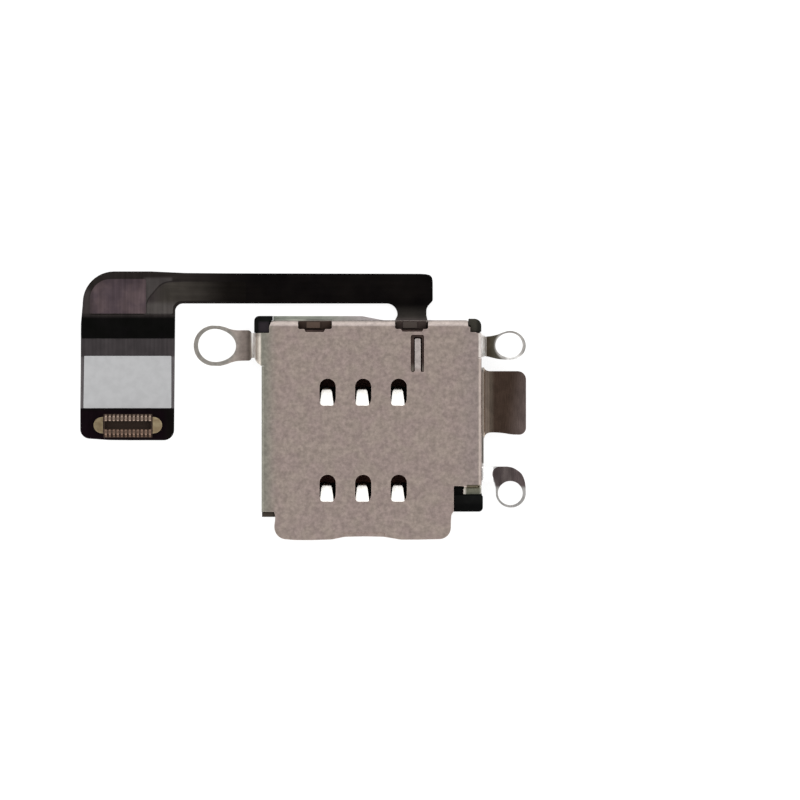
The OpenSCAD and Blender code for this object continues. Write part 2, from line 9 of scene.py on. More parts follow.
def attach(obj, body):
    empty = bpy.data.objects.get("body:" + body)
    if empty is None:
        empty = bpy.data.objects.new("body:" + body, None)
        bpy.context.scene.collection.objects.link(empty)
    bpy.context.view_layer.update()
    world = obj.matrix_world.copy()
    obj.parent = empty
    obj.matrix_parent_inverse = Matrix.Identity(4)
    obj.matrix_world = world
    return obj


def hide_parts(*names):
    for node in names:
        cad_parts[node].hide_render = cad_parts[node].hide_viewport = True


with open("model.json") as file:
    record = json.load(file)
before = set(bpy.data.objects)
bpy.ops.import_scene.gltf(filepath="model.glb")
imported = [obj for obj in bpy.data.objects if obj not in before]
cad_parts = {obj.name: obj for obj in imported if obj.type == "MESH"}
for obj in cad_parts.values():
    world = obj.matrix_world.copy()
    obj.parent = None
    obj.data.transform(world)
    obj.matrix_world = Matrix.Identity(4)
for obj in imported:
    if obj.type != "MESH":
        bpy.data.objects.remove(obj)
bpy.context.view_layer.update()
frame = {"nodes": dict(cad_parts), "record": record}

nodes = frame["nodes"]
scene = bpy.context.scene
MM = 0.001

# ---------------------------------------------------------------- camera, light and floor

# the photograph looks straight down; 14 of its pixels make a millimetre on the shell's face
PX_PER_MM = 14.0
DISTANCE = 1.0
cam_data = bpy.data.cameras.new("camera")
cam_data.type = "PERSP"
cam_data.sensor_fit = "HORIZONTAL"
cam_data.sensor_width = 36.0
cam_data.lens = 36.0 * DISTANCE / (800 / PX_PER_MM * MM)
cam_data.clip_start, cam_data.clip_end = 0.05, 50.0
cam = bpy.data.objects.new("camera", cam_data)
cam.location = ((400 - 303) / PX_PER_MM * MM, (405.5 - 400) / PX_PER_MM * MM, 2.7 * MM + DISTANCE)
scene.collection.objects.link(cam)
scene.camera = cam
scene.view_settings.view_transform = "Standard"
scene.view_settings.look = "None"


def srgb(r, g, b, a=1.0):
    """A colour given as 0 to 255 on the screen, as linear light."""
    f = lambda c: c / 12.92 if c <= 0.04045 else ((c + 0.055) / 1.055) ** 2.4
    return (f(r / 255), f(g / 255), f(b / 255), a)


def world_light():
    """A soft studio dome: a little dimmer straight overhead, brightest half way up."""
    w = bpy.data.worlds.new("studio")
    scene.world = w
    w.use_nodes = True
    t = w.node_tree
    t.nodes.clear()
    co = t.nodes.new("ShaderNodeTexCoord")
    norm = t.nodes.new("ShaderNodeVectorMath")
    norm.operation = "NORMALIZE"
    sep = t.nodes.new("ShaderNodeSeparateXYZ")
    ramp = t.nodes.new("ShaderNodeValToRGB")
    ramp.color_ramp.interpolation = "EASE"
    stops = [(0.0, 0.75), (0.45, 0.80), (0.72, 0.80), (0.88, 0.50), (0.965, 0.265), (1.0, 0.20)]
    e = ramp.color_ramp.elements
    while len(e) > 1:
        e.remove(e[-1])
    e[0].position, e[0].color = stops[0][0], (stops[0][1],) * 3 + (1,)
    for p, v in stops[1:]:
        k = e.new(p)
        k.color = (v, v, v, 1)
    bg = t.nodes.new("ShaderNodeBackground")
    bg.inputs["Strength"].default_value = 2.0
    out = t.nodes.new("ShaderNodeOutputWorld")
    t.links.new(co.outputs["Generated"], norm.inputs[0])
    t.links.new(norm.outputs[0], sep.inputs[0])
    t.links.new(sep.outputs["Z"], ramp.inputs["Fac"])
    t.links.new(ramp.outputs["Color"], bg.inputs["Color"])
    t.links.new(bg.outputs[0], out.inputs["Surface"])


world_light()


# ---------------------------------------------------------------- materials


class Mat:
    """A Principled material built from nodes. Patterns are laid out in millimetres of the row frame."""

    def __init__(self, name, metallic=0.0, rough=0.5, spec=0.5, **sockets):
        self.m = bpy.data.materials.new(name)
        self.m.use_nodes = True
        self.t = self.m.node_tree
        self.b = next(n for n in self.t.nodes if n.type == "BSDF_PRINCIPLED")
        self.b.inputs["Metallic"].default_value = metallic
        self.b.inputs["Roughness"].default_value = rough
        self.b.inputs["Specular IOR Level"].default_value = spec
        for k, v in sockets.items():
            self.b.inputs[k.replace("_", " ")].default_value = v
        co = self.t.nodes.new("ShaderNodeTexCoord")
        self.pos = self.vec("SCALE", co.outputs["Object"], scale=1000.0)
        sep = self.t.nodes.new("ShaderNodeSeparateXYZ")
        self.link(self.pos, sep.inputs[0])
        self.x, self.y, self.z = sep.outputs

    def link(self, a, b):
        self.t.links.new(a, b)

    def put(self, value, socket):
        """A number, colour or another node's output into a socket."""
        if isinstance(value, bpy.types.NodeSocket):
            self.link(value, socket)
        else:
            socket.default_value = value

    def vec(self, op, a, b=None, scale=None):
        n = self.t.nodes.new("ShaderNodeVectorMath")
        n.operation = op
        self.put(a, n.inputs[0])
        if b is not None:
            self.put(b, n.inputs[1])
        if scale is not None:
            n.inputs["Scale"].default_value = scale
        return n.outputs[0]

    def math(self, op, a, b=0.0, clamp=False):
        n = self.t.nodes.new("ShaderNodeMath")
        n.operation = op
        n.use_clamp = clamp
        self.put(a, n.inputs[0])
        self.put(b, n.inputs[1])
        return n.outputs[0]

    def noise(self, scale, detail=2.0, rough=0.5, offset=(0, 0, 0), stretch=(1, 1, 1), distort=0.0):
        """Noise with about scale lumps to a millimetre, from 0 to 1."""
        v = self.vec("MULTIPLY", self.vec("ADD", self.pos, offset), stretch)
        n = self.t.nodes.new("ShaderNodeTexNoise")
        n.inputs["Scale"].default_value = scale
        n.inputs["Detail"].default_value = detail
        n.inputs["Roughness"].default_value = rough
        n.inputs["Distortion"].default_value = distort
        self.link(v, n.inputs["Vector"])
        return n.outputs["Fac"]

    def voronoi(self, scale, feature="F1", offset=(0, 0, 0), output="Distance", randomness=1.0):
        n = self.t.nodes.new("ShaderNodeTexVoronoi")
        n.feature = feature
        n.inputs["Scale"].default_value = scale
        n.inputs["Randomness"].default_value = randomness
        self.link(self.vec("ADD", self.pos, offset), n.inputs["Vector"])
        return n.outputs[output]

    def step(self, value, lo, hi, a=0.0, b=1.0):
        """value mapped smoothly from lo..hi to a..b."""
        n = self.t.nodes.new("ShaderNodeMapRange")
        n.interpolation_type = "SMOOTHSTEP"
        self.put(value, n.inputs["Value"])
        n.inputs["From Min"].default_value, n.inputs["From Max"].default_value = lo, hi
        n.inputs["To Min"].default_value, n.inputs["To Max"].default_value = a, b
        return n.outputs[0]

    def inside(self, x0, x1, y0, y1, soft=0.05):
        """1 within a rectangle of the plan, 0 outside."""
        parts = [self.step(self.x, x0 - soft, x0 + soft), self.step(self.x, x1 - soft, x1 + soft, 1.0, 0.0),
                 self.step(self.y, y0 - soft, y0 + soft), self.step(self.y, y1 - soft, y1 + soft, 1.0, 0.0)]
        out = parts[0]
        for p in parts[1:]:
            out = self.math("MULTIPLY", out, p)
        return out

    def mix(self, fac, a, b, blend="MIX"):
        n = self.t.nodes.new("ShaderNodeMix")
        n.data_type = "RGBA"
        n.blend_type = blend
        self.put(fac, n.inputs[0])
        self.put(a, n.inputs[6])
        self.put(b, n.inputs[7])
        return n.outputs[2]

    def scaled(self, color, value):
        """A colour times a number from a pattern."""
        n = self.t.nodes.new("ShaderNodeVectorMath")
        n.operation = "SCALE"
        self.put(color, n.inputs[0])
        self.put(value, n.inputs["Scale"])
        return n.outputs[0]

    def bump(self, height, strength, distance_mm, under=None):
        n = self.t.nodes.new("ShaderNodeBump")
        n.inputs["Strength"].default_value = strength
        n.inputs["Distance"].default_value = distance_mm * MM
        self.put(height, n.inputs["Height"])
        if under is not None:
            self.link(under, n.inputs["Normal"])
        return n.outputs[0]

    def set(self, color=None, rough=None, normal=None):
        if color is not None:
            self.put(color, self.b.inputs["Base Color"])
        if rough is not None:
            self.put(rough, self.b.inputs["Roughness"])
        if normal is not None:
            self.link(normal, self.b.inputs["Normal"])
        return self.m


def dist(k, x0, y0):
    """Distance in the plan from a point, in millimetres."""
    dx, dy = k.math("SUBTRACT", k.x, x0), k.math("SUBTRACT", k.y, y0)
    return k.math("SQRT", k.math("ADD", k.math("MULTIPLY", dx, dx), k.math("MULTIPLY", dy, dy)))


def shell_steel():
    """Sandblasted stainless sheet: fine grain, soft mottling, greener at the left edge and pinker at the right."""
    k = Mat("shell_steel", metallic=1.0, rough=0.40)
    c = k.mix(k.step(k.noise(0.9, 1.5, offset=(3, 7, 1)), 0.35, 0.65), srgb(171, 156, 147), srgb(169, 152, 146))
    c = k.mix(k.math("MULTIPLY", k.step(k.x, -2.95, -1.7, 0.85, 0.0), k.step(k.z, 2.3, 2.6)), c, srgb(143, 143, 131))
    c = k.mix(k.step(k.x, 10.5, 12.5, 0.0, 0.5), c, srgb(158, 145, 142))
    # painted highlight on the rear bend; the right bend gets its own tone, and the left bend below the ear is darkened
    # as painted shade
    c = k.mix(k.step(k.y, 5.64, 5.72), c, k.mix(k.step(k.y, 5.72, 5.90), srgb(207, 193, 187), srgb(170, 159, 153)))
    c = k.mix(k.math("MULTIPLY", k.step(k.x, 12.44, 12.50), k.step(k.y, 5.3, 5.2)), c, srgb(163, 150, 143))
    # painted shade on the left bend below the ear
    c = k.mix(k.math("MULTIPLY", k.step(k.x, -2.80, -2.86), k.step(k.y, 2.85, 2.75)), c, srgb(126, 125, 115))
    # left ear: painted highlight on the step down, painted shade over its upper rows and along the foot of the ramp,
    # then a strap that darkens toward its foot, and a greyer ring
    c = k.mix(k.math("MULTIPLY", k.step(k.x, -2.98, -3.04), k.step(k.y, 2.7, 2.8)), c, srgb(187, 179, 169))
    c = k.mix(k.step(k.x, -3.20, -3.26), c, srgb(206, 197, 186))
    c = k.mix(k.step(k.x, -3.36, -3.42), c, srgb(255, 253, 250))
    # painted shade over the upper rows of the step down
    c = k.mix(k.math("MULTIPLY", k.math("MULTIPLY", k.step(k.x, -2.98, -3.04), k.step(k.x, -3.54, -3.46)), k.step(k.y, 4.80, 5.02)),
              c, k.scaled(c, 0.68))
    # painted shade along the foot, where the ramp turns into the strap
    foot = k.math("ADD", k.x, k.math("MULTIPLY", k.math("SUBTRACT", k.y, 5.39), 0.045))
    c = k.mix(k.step(foot, -3.65, -3.75), c, srgb(215, 207, 198))
    c = k.scaled(c, k.step(foot, -3.62, -3.70, 1.0, 0.5))
    strap = k.mix(k.step(k.x, -4.9, -4.2), srgb(178, 166, 158), srgb(142, 130, 123))
    strap = k.mix(k.step(k.x, -4.15, -3.88), strap, srgb(112, 102, 95))
    c = k.mix(k.step(foot, -3.72, -3.80), c, strap)
    c = k.mix(k.math("MULTIPLY", k.step(k.x, -4.2, -4.6), k.step(dist(k, -6.34, 4.3), 1.75, 1.40)), c, srgb(161, 156, 149))
    # upper right ear: painted highlight on the step down, a strap painted dark as shade, and a ring lighter at the top
    # with a painted highlight at its lower right
    on_ear = k.step(k.y, 3.30, 3.42)
    c = k.mix(k.math("MULTIPLY", k.step(k.x, 12.49, 12.58), on_ear), c, srgb(184, 176, 171))
    c = k.mix(k.math("MULTIPLY", k.step(k.x, 12.65, 12.80), on_ear), c, srgb(255, 250, 246))
    # the strap is painted dark as shade
    ear_tones_shade_highlight = k.mix(k.step(k.x, 13.1, 14.0), srgb(72, 64, 52), srgb(92, 88, 78))
    ear_tones_shade_highlight = k.mix(k.step(dist(k, 14.8, 4.3), 1.2, 1.0), ear_tones_shade_highlight, k.mix(k.step(k.y, 4.9, 5.4), srgb(196, 192, 188), srgb(140, 135, 130)))
    # painted highlight on the lower right of the ring
    ear_tones_shade_highlight = k.mix(k.math("MULTIPLY", k.step(k.y, 3.75, 3.40), k.step(k.x, 14.4, 14.7)), ear_tones_shade_highlight, srgb(252, 250, 247))
    c = k.mix(k.step(k.x, 13.05, 13.14), c, ear_tones_shade_highlight)
    # the flap at the front right is tinted olive, darker along its fold and lighter at its ends
    flap = k.mix(k.step(k.y, -5.86, -5.93), srgb(90, 83, 68), srgb(124, 123, 108))
    flap = k.mix(k.step(k.y, -6.10, -6.34), flap, srgb(98, 99, 88))
    flap = k.mix(k.step(k.x, 11.70, 11.60), flap, srgb(196, 190, 180))
    flap = k.mix(k.step(k.x, 12.58, 12.70), flap, srgb(180, 176, 166))
    on_flap = k.math("MULTIPLY", k.step(k.y, -5.62, -5.72), k.step(k.x, 11.40, 11.48))
    on_flap = k.math("MULTIPLY", on_flap, k.math("MAXIMUM", k.step(k.x, 11.64, 11.74), k.step(k.y, -5.79, -5.86)))
    c = k.mix(on_flap, c, flap)
    # painted highlight on the spring finger, fading out toward its root
    c = k.mix(k.math("MULTIPLY", k.inside(7.96, 8.45, 2.4, 5.0, 0.03), k.step(k.y, 2.42, 2.8, 0.2, 1.0)), c, srgb(191, 181, 177))
    mottle = k.math("ADD", k.step(k.noise(1.9, 2.5, 0.6, offset=(1, 1, 1)), 0.3, 0.7, 0.90, 1.10),
                    k.step(k.noise(5.5, 2.0, 0.6, offset=(5, 3, 2)), 0.3, 0.7, -0.05, 0.05))
    c = k.scaled(c, mottle)
    grain = k.noise(16, 3.0, 0.65)
    fine = k.noise(40, 2.0, 0.6, offset=(2, 9, 4))
    rough = k.step(k.noise(4.0, 2.0, offset=(9, 1, 1)), 0.3, 0.7, 0.36, 0.45)
    normal = k.bump(fine, 0.22, 0.004, k.bump(grain, 0.25, 0.010))
    return k.set(c, rough, normal)


def plate_steel():
    k = Mat("plate_steel", metallic=1.0, rough=0.34)
    c = k.mix(k.step(k.x, 1.0, 5.0), srgb(184, 188, 176), srgb(208, 200, 200))
    c = k.scaled(c, k.step(k.noise(1.6, 2.5), 0.3, 0.7, 0.90, 1.08))
    # painted light along the rear edge left of x 0, and painted shade by the latch between x 0.2 and 2.1
    near = k.step(k.y, 6.24, 6.08)
    c = k.scaled(c, k.math("ADD", 1.0, k.math("MULTIPLY", near, k.step(k.x, 0.2, -0.3, 0.0, 0.55))))
    c = k.scaled(c, k.math("SUBTRACT", 1.0, k.math("MULTIPLY", k.math("MULTIPLY", near, 0.4), k.inside(0.2, 2.1, 5.9, 6.6, 0.1))))
    lines = k.noise(18, 2.0, 0.6, stretch=(0.06, 1, 1))
    return k.set(c, k.step(lines, 0.3, 0.7, 0.28, 0.42), k.bump(lines, 0.25, 0.004))


def bracket_steel():
    """Heat-darkened stainless sheet, with painted highlights on the bends, on the lower ear's ramp and on the lower rim
    of its ring.
    """
    k = Mat("bracket_steel", metallic=1.0, rough=0.30)
    c = k.mix(k.step(k.x, 13.42, 13.74), srgb(112, 99, 88), srgb(82, 66, 57))
    # painted light over the bend at the foot of the leaf, lifting the dark line it would show, lightest near x 13
    c = k.mix(k.step(k.x, 13.30, 13.20), c, srgb(84, 74, 66))
    c = k.mix(k.step(k.x, 13.14, 13.06), c, srgb(100, 88, 79))
    c = k.mix(k.step(k.x, 13.02, 12.97), c, srgb(181, 164, 148))
    c = k.mix(k.step(k.x, 12.94, 12.90), c, srgb(146, 131, 118))
    c = k.mix(k.step(k.math("SUBTRACT", k.x, k.math("MULTIPLY", k.y, 0.12)), 14.5, 16.2, 0.0, 1.0), c, srgb(124, 109, 105))
    c = k.mix(k.step(k.z, 1.3, 1.7), c, k.mix(k.inside(12, 13.2, -2.2, 2.4, 0.15), srgb(140, 134, 128), srgb(170, 157, 146)))
    # painted highlight on the strap's bend, in front of the lower ear
    c = k.mix(k.math("MULTIPLY", k.step(k.x, 12.99, 12.94), k.step(k.y, -4.06, -4.2)), c, srgb(236, 233, 230))
    ear = k.mix(k.step(k.noise(0.8, 1.0, offset=(0, 4, 0), stretch=(1.6, 0.5, 1)), 0.4, 0.65), srgb(92, 81, 81), srgb(120, 109, 107))
    ear = k.mix(k.step(k.x, 14.9, 15.3, 0.0, 0.6), ear, srgb(126, 112, 112))
    # painted highlight on the ramp, as far as a line that is rounded at the top and leans in below
    high = k.math("MAXIMUM", k.math("ADD", k.y, 4.88), 0.0)
    low = k.math("MULTIPLY", k.math("MAXIMUM", k.math("SUBTRACT", -5.0, k.y), 0.0), 0.32)
    drop = k.math("SQRT", k.math("MAXIMUM", k.math("SUBTRACT", 0.25, k.math("MULTIPLY", high, high)), 0.0))
    line = k.math("ADD", k.math("SUBTRACT", 14.03, drop), low)
    ear = k.mix(k.step(k.math("SUBTRACT", k.x, line), 0.05, -0.05), ear, srgb(248, 247, 246))
    # painted highlight on the lower rim of the ring
    ear = k.mix(k.math("MULTIPLY", k.step(dist(k, 14.8, -6.24), 1.20, 1.12), k.step(k.y, -5.68, -5.98)), ear, srgb(204, 201, 198))
    c = k.mix(k.step(k.y, -4.36, -4.42), c, ear)
    c = k.scaled(c, k.step(k.noise(1.3, 2.0, offset=(0, 4, 0)), 0.3, 0.7, 0.88, 1.1))
    lines = k.noise(20, 2.0, 0.6, stretch=(1, 0.06, 1))
    return k.set(c, k.step(lines, 0.3, 0.7, 0.24, 0.36), k.bump(lines, 0.2, 0.004))


def black_housing():
    k = Mat("black_housing", rough=0.5, spec=0.06)
    c = k.mix(k.step(k.noise(1.2, 2.0), 0.35, 0.65), srgb(6, 6, 5), srgb(13, 14, 13))
    # the pocket in the rear left corner is worn lighter; the rear right one is lifted to olive as painted light against
    # the shade deep in its groove; the latch noses are brown; the slot's floor is brown, lifted as painted light
    # against the shade deep inside it
    c = k.mix(k.inside(-3.16, -2.44, 5.24, 5.98, 0.06), c, srgb(42, 37, 41))
    # painted light in the groove at the rear right
    c = k.mix(k.inside(11.7, 12.9, 5.1, 6.3, 0.08), c, k.mix(k.step(k.x, 12.30, 12.55), srgb(51, 49, 43), srgb(31, 30, 26)))
    c = k.mix(k.inside(-3.2, -1.8, -8.0, -7.3, 0.05), c, srgb(58, 52, 46))
    c = k.mix(k.math("MULTIPLY", k.step(k.x, 10.6, 10.8), k.step(k.y, -6.85, -7.15)), c, srgb(1, 1, 1))
    c = k.mix(k.inside(-0.5, 2.2, 5.2, 6.1, 0.04), c, srgb(54, 43, 37))
    c = k.mix(k.inside(6.5, 8.95, 5.2, 6.1, 0.04), c, srgb(55, 46, 43))
    c = k.mix(k.math("MULTIPLY", k.inside(-1.0, 2.6, 5.4, 5.97, 0.04), k.step(k.z, 2.30, 2.36)), c, srgb(76, 63, 55))
    c = k.mix(k.math("MULTIPLY", k.inside(6.5, 8.6, 5.4, 5.97, 0.04), k.step(k.z, 2.30, 2.36)), c, srgb(63, 56, 52))
    # brown slot floor, lightened as painted light against the shade deep inside the slot
    c = k.mix(k.math("MULTIPLY", k.inside(-1.8, 10.4, -7.3, 5.3, 0.1), k.step(k.z, 1.4, 1.2)), c, srgb(72, 46, 40))
    # the floor of the board connector, between its two rows, is brown
    c = k.mix(k.step(k.x, -9.0, -9.2), c, srgb(46, 36, 30))
    c = k.mix(k.math("ADD", k.inside(-14.3, -10.8, -1.12, -0.60, 0.04), k.inside(-14.3, -10.8, -2.30, -1.68, 0.04)), c, srgb(74, 60, 52))
    skin = k.voronoi(14, "SMOOTH_F1")
    return k.set(c, k.step(k.noise(5, 2.0), 0.3, 0.7, 0.42, 0.58), k.bump(skin, 0.25, 0.008))


def insulator_plastic():
    k = Mat("insulator_plastic", rough=0.45, spec=0.2)
    c = k.mix(k.step(k.noise(1.4, 2.0, offset=(4, 4, 0)), 0.35, 0.65), srgb(44, 30, 26), srgb(58, 44, 39))
    c = k.mix(k.math("MULTIPLY", k.inside(7.5, 8.8, 2.0, 3.5, 0.1), k.step(k.y, 3.15, 2.5)), c, srgb(102, 94, 87))
    return k.set(c, k.step(k.noise(5, 2.0), 0.3, 0.7, 0.38, 0.55), k.bump(k.voronoi(14, "SMOOTH_F1"), 0.2, 0.006))


def plunger_plastic():
    k = Mat("plunger_plastic", rough=0.4, spec=0.4)
    c = k.mix(k.step(k.noise(1.0, 2.0, offset=(1, 0, 7)), 0.35, 0.65), srgb(52, 53, 55), srgb(66, 67, 69))
    return k.set(c, k.step(k.noise(4, 2.0), 0.3, 0.7, 0.34, 0.46), k.bump(k.noise(24, 2.0), 0.2, 0.005))


def nickel():
    k = Mat("bright_nickel", metallic=1.0, rough=0.34)
    c = k.scaled(srgb(252, 250, 245)[:3], k.step(k.noise(3.0, 2.0), 0.3, 0.7, 0.96, 1.0))
    return k.set(c, k.step(k.noise(5, 2.0), 0.3, 0.7, 0.32, 0.4), k.bump(k.noise(22, 2.0, stretch=(1, 0.1, 1)), 0.12, 0.003))


def gold(name="plated_gold", a=(214, 180, 112), b=(190, 152, 88), rough=(0.26, 0.40), left=1.0):
    """Gold plating; what lies left of the connector's middle is darkened by the factor left."""
    k = Mat(name, metallic=1.0, rough=0.3)
    c = k.mix(k.step(k.noise(2.6, 2.0), 0.35, 0.65), srgb(*a), srgb(*b))
    c = k.scaled(c, k.step(k.x, -12.7, -12.4, left, 1.0))
    return k.set(c, k.step(k.noise(7, 2.0), 0.3, 0.7, *rough), k.bump(k.noise(18, 2.0), 0.15, 0.004))


def pin_gold():
    """Thin gold over nickel; the outer row is browner."""
    k = Mat("pin_gold", metallic=1.0, rough=0.3)
    c = k.mix(k.step(k.y, -1.6, -1.2), srgb(141, 116, 101), srgb(164, 144, 130))
    c = k.scaled(c, k.step(k.noise(2.2, 2.0, offset=(2, 0, 0)), 0.3, 0.7, 0.85, 1.1))
    return k.set(c, k.step(k.noise(7, 2.0), 0.3, 0.7, 0.22, 0.36), k.bump(k.noise(18, 2.0), 0.15, 0.004))


def gloss_film(name, color, rough=(0.24, 0.36), spec=0.04):
    """Smooth cover film over a circuit: the traces under it stand up a little. color(k) lays out its tones."""
    k = Mat(name, rough=0.3, spec=spec)
    across = k.noise(5.0, 2.0, 0.6, offset=(0, 2, 0), stretch=(0.04, 1, 1))
    down = k.noise(5.0, 2.0, 0.6, offset=(5, 0, 0), stretch=(1, 0.04, 1))
    leg = k.step(k.math("ADD", k.x, k.math("MULTIPLY", k.y, 0.7)), -4.4, -3.4)
    traces = k.math("ADD", k.math("MULTIPLY", leg, across), k.math("MULTIPLY", k.math("SUBTRACT", 1.0, leg), down))
    c = k.scaled(color(k), k.step(traces, 0.3, 0.7, 0.86, 1.14))
    c = k.scaled(c, k.step(k.noise(1.1, 2.0, offset=(6, 1, 0)), 0.3, 0.7, 0.9, 1.1))
    wave = k.bump(k.noise(0.7, 2.0), 0.25, 0.03)
    return k.set(c, k.step(k.noise(1.2, 2.0, offset=(3, 3, 3)), 0.3, 0.7, *rough), k.bump(traces, 0.2, 0.01, wave))


def flex_tones(k):
    c = k.mix(k.step(k.noise(0.5, 2.0), 0.35, 0.65), srgb(7, 5, 5), srgb(12, 9, 8))
    c = k.mix(k.step(k.x, -10.2, -9.6, 0.0, 1.0), k.mix(k.step(k.y, -0.2, -0.5), c, srgb(13, 5, 9)), c)
    c = k.mix(k.math("MULTIPLY", k.inside(-17, -3.4, 6.5, 12, 0.1), k.step(k.x, -9.0, -3.6, 1.0, 0.0)), c, srgb(34, 30, 28))
    c = k.mix(k.math("MULTIPLY", k.step(k.x, -15.1, -15.3), k.inside(-17, -15, 6.5, 8.3, 0.3)), c, srgb(51, 46, 45))
    c = k.mix(k.inside(-11.4, -9.4, 6.5, 9.14, 0.12), c, srgb(60, 56, 55))
    c = k.mix(k.inside(-17, -9, -0.2, 4.93, 0.05), c, k.mix(k.step(k.y, 3.4, 3.6), srgb(84, 80, 81), srgb(55, 51, 52)))
    c = k.mix(k.inside(-14.3, -10.8, -2.30, -0.62, 0.05), c, srgb(60, 48, 42))
    # painted light: the flat neck is lighter toward the shell, standing in for the light a tilt there would catch
    neck = k.mix(k.step(k.y, 6.42, 6.12), srgb(53, 50, 47), srgb(82, 76, 74))
    return k.mix(k.math("MULTIPLY", k.inside(6.3, 9.1, 5.0, 7.4, 0.2), k.step(k.y, 7.3, 6.2)), c, neck)


def corner_tones(k):
    c = k.mix(k.step(k.noise(1.0, 2.0, offset=(3, 0, 0)), 0.35, 0.65), srgb(66, 56, 60), srgb(78, 66, 68))
    c = k.scaled(c, k.step(k.y, 8.1, 8.9, 1.0, 0.78))
    return k.mix(k.step(k.x, -15.3, -14.8, 0.4, 0.0), c, srgb(52, 46, 44))


def turn_tones(k):
    c = k.mix(k.step(k.y, 7.6, 7.1), k.mix(k.step(k.x, -11.2, -9.6), srgb(46, 41, 41), srgb(54, 50, 46)), srgb(68, 64, 62))
    return k.mix(k.step(k.x, -9.2, -5.2), c, srgb(14, 11, 9))


def tape_tones(k):
    c = k.mix(k.step(k.noise(0.6, 2.0), 0.35, 0.65), srgb(3, 3, 2), srgb(6, 5, 5))
    return k.mix(k.step(k.y, 6.20, 6.52), c, srgb(38, 34, 33))


def paper():
    k = Mat("label_paper", rough=0.7, spec=0.2)
    c = k.scaled(srgb(164, 164, 165)[:3], k.step(k.noise(2.0, 3.0), 0.3, 0.7, 0.96, 1.04))
    return k.set(c, 0.7, k.bump(k.noise(30, 3.0), 0.2, 0.004))


def lever_steel():
    """Blackened steel, deep inside the slot."""
    k = Mat("lever_steel", metallic=1.0, rough=0.38)
    c = k.mix(k.step(k.noise(1.5, 2.0, offset=(1, 8, 0)), 0.35, 0.65), srgb(72, 68, 66), srgb(90, 84, 80))
    return k.set(c, k.step(k.noise(6, 2.0), 0.3, 0.7, 0.32, 0.44), k.bump(k.noise(20, 2.0), 0.2, 0.004))


M = {
    "lever": lever_steel(), "shell_steel": shell_steel(), "plate_steel": plate_steel(), "bracket_steel": bracket_steel(),
    "black_housing": black_housing(), "insulator": insulator_plastic(), "plunger_plastic": plunger_plastic(),
    "nickel_contact": nickel(), "gold_contact": gold(),
    "pin_gold": pin_gold(), "fitting_gold": gold("fitting_gold", (166, 150, 120), (148, 130, 102), (0.34, 0.46), 0.8),
    "flex_film": gloss_film("flex_film", flex_tones), "tape": gloss_film("flex_tape", tape_tones, (0.32, 0.42), 0.05),
    "cover_corner": gloss_film("flex_cover_corner", corner_tones), "cover_turn": gloss_film("flex_cover_turn", turn_tones),
    "label_paper": paper(),
}


def floor():
    k = Mat("pale_floor", rough=0.9, spec=0.0)
    k.set(k.scaled((0.25, 0.25, 0.25), k.step(k.noise(0.02, 1.0), 0.3, 0.7, 0.995, 1.005)), 0.9)
    k.b.inputs["Emission Color"].default_value = (1, 1, 1, 1)
    k.b.inputs["Emission Strength"].default_value = 0.85
    bpy.ops.mesh.primitive_plane_add(size=8.0, location=(0, 0, 0))
    o = bpy.context.object
    o.name = "floor"
    o.location.z = -0.02 * MM
    o.data.materials.append(k.m)


floor()

# ---------------------------------------------------------------- sheet metal and film

# levels and edges of the shell, in millimetres
T = 0.15
Z_FLEX, Z_PAD, Z_FLOOR, Z_RAIL, Z_FACE, Z_TOP = 0.15, 0.27, 0.65, 2.15, 2.55, 2.70
FACE_C, EAR_C, WALL_Z = 2.625, 0.825, 0.45
XL, XR, YR = -2.96, 12.76, 6.07
FRONT_Y, LIP_Y, NOTCH_Y, NOTCH_X = -7.6, -9.60, -5.75, 10.8
BEND_REAR, BEND_RIGHT, BEND_LEFT = 0.36, 0.27, 0.18
COLUMNS, ROWS = (1.76, 4.30, 6.84), (0.0, -6.86)


class Path:
    """The middle line of a bent sheet seen end on, from corners (p, z, bend radius), by its length s."""

    def __init__(self, *corners):
        pts = [Vector(c[:2]) for c in corners]
        self.parts, self.bends, at, cur = [], [], 0.0, pts[0]
        for i in range(1, len(pts)):
            d = (pts[i] - pts[i - 1]).normalized()
            r = corners[i][2] if i < len(pts) - 1 else 0
            if r:
                d2 = (pts[i + 1] - pts[i]).normalized()
                turn = math.atan2(d.x * d2.y - d.y * d2.x, d.dot(d2))
                back = r * math.tan(abs(turn) / 2)
                n = (pts[i] - d * back - cur).length
                self.parts.append((at, at + n, cur, d, 0, 0))
                at, cur = at + n, pts[i] - d * back
                arc = r * abs(turn)
                self.parts.append((at, at + arc, cur, d, r, turn))
                self.bends.append((at, at + arc, abs(turn)))
                at, cur = at + arc, pts[i] + d2 * back
            else:
                n = (pts[i] - cur).length
                self.parts.append((at, at + n, cur, d, 0, 0))
                at, cur = at + n, pts[i]
        self.length = at

    def at(self, s):
        """(p, z, dp, dz) at s: the point and the unit direction."""
        k = next((q for q in self.parts if s <= q[1]), self.parts[-1])
        a, b, o, d, r, turn = k
        if not r:
            q = o + d * (s - a)
            return q.x, q.y, d.x, d.y
        side = 1 if turn > 0 else -1
        centre = o + Vector((-d.y, d.x)) * r * side
        f = side * (s - a) / r
        v = o - centre
        q = centre + Vector((v.x * math.cos(f) - v.y * math.sin(f), v.x * math.sin(f) + v.y * math.cos(f)))
        return q.x, q.y, d.x * math.cos(f) - d.y * math.sin(f), d.x * math.sin(f) + d.y * math.cos(f)

    def s_of(self, p):
        """The length at which the line, which runs one way along p, reaches p."""
        lo, hi = 0.0, self.length
        rising = self.at(self.length)[0] > self.at(0)[0]
        for _ in range(40):
            mid = (lo + hi) / 2
            if (self.at(mid)[0] < p) == rising:
                lo = mid
            else:
                hi = mid
        return (lo + hi) / 2

    def steps(self, degrees=11):
        """Lengths that cut the bends finely enough to look round."""
        out = []
        for a, b, turn in self.bends:
            n = max(2, math.ceil(math.degrees(turn) / degrees))
            out += [a + (b - a) * k / n for k in range(n + 1)]
        return out


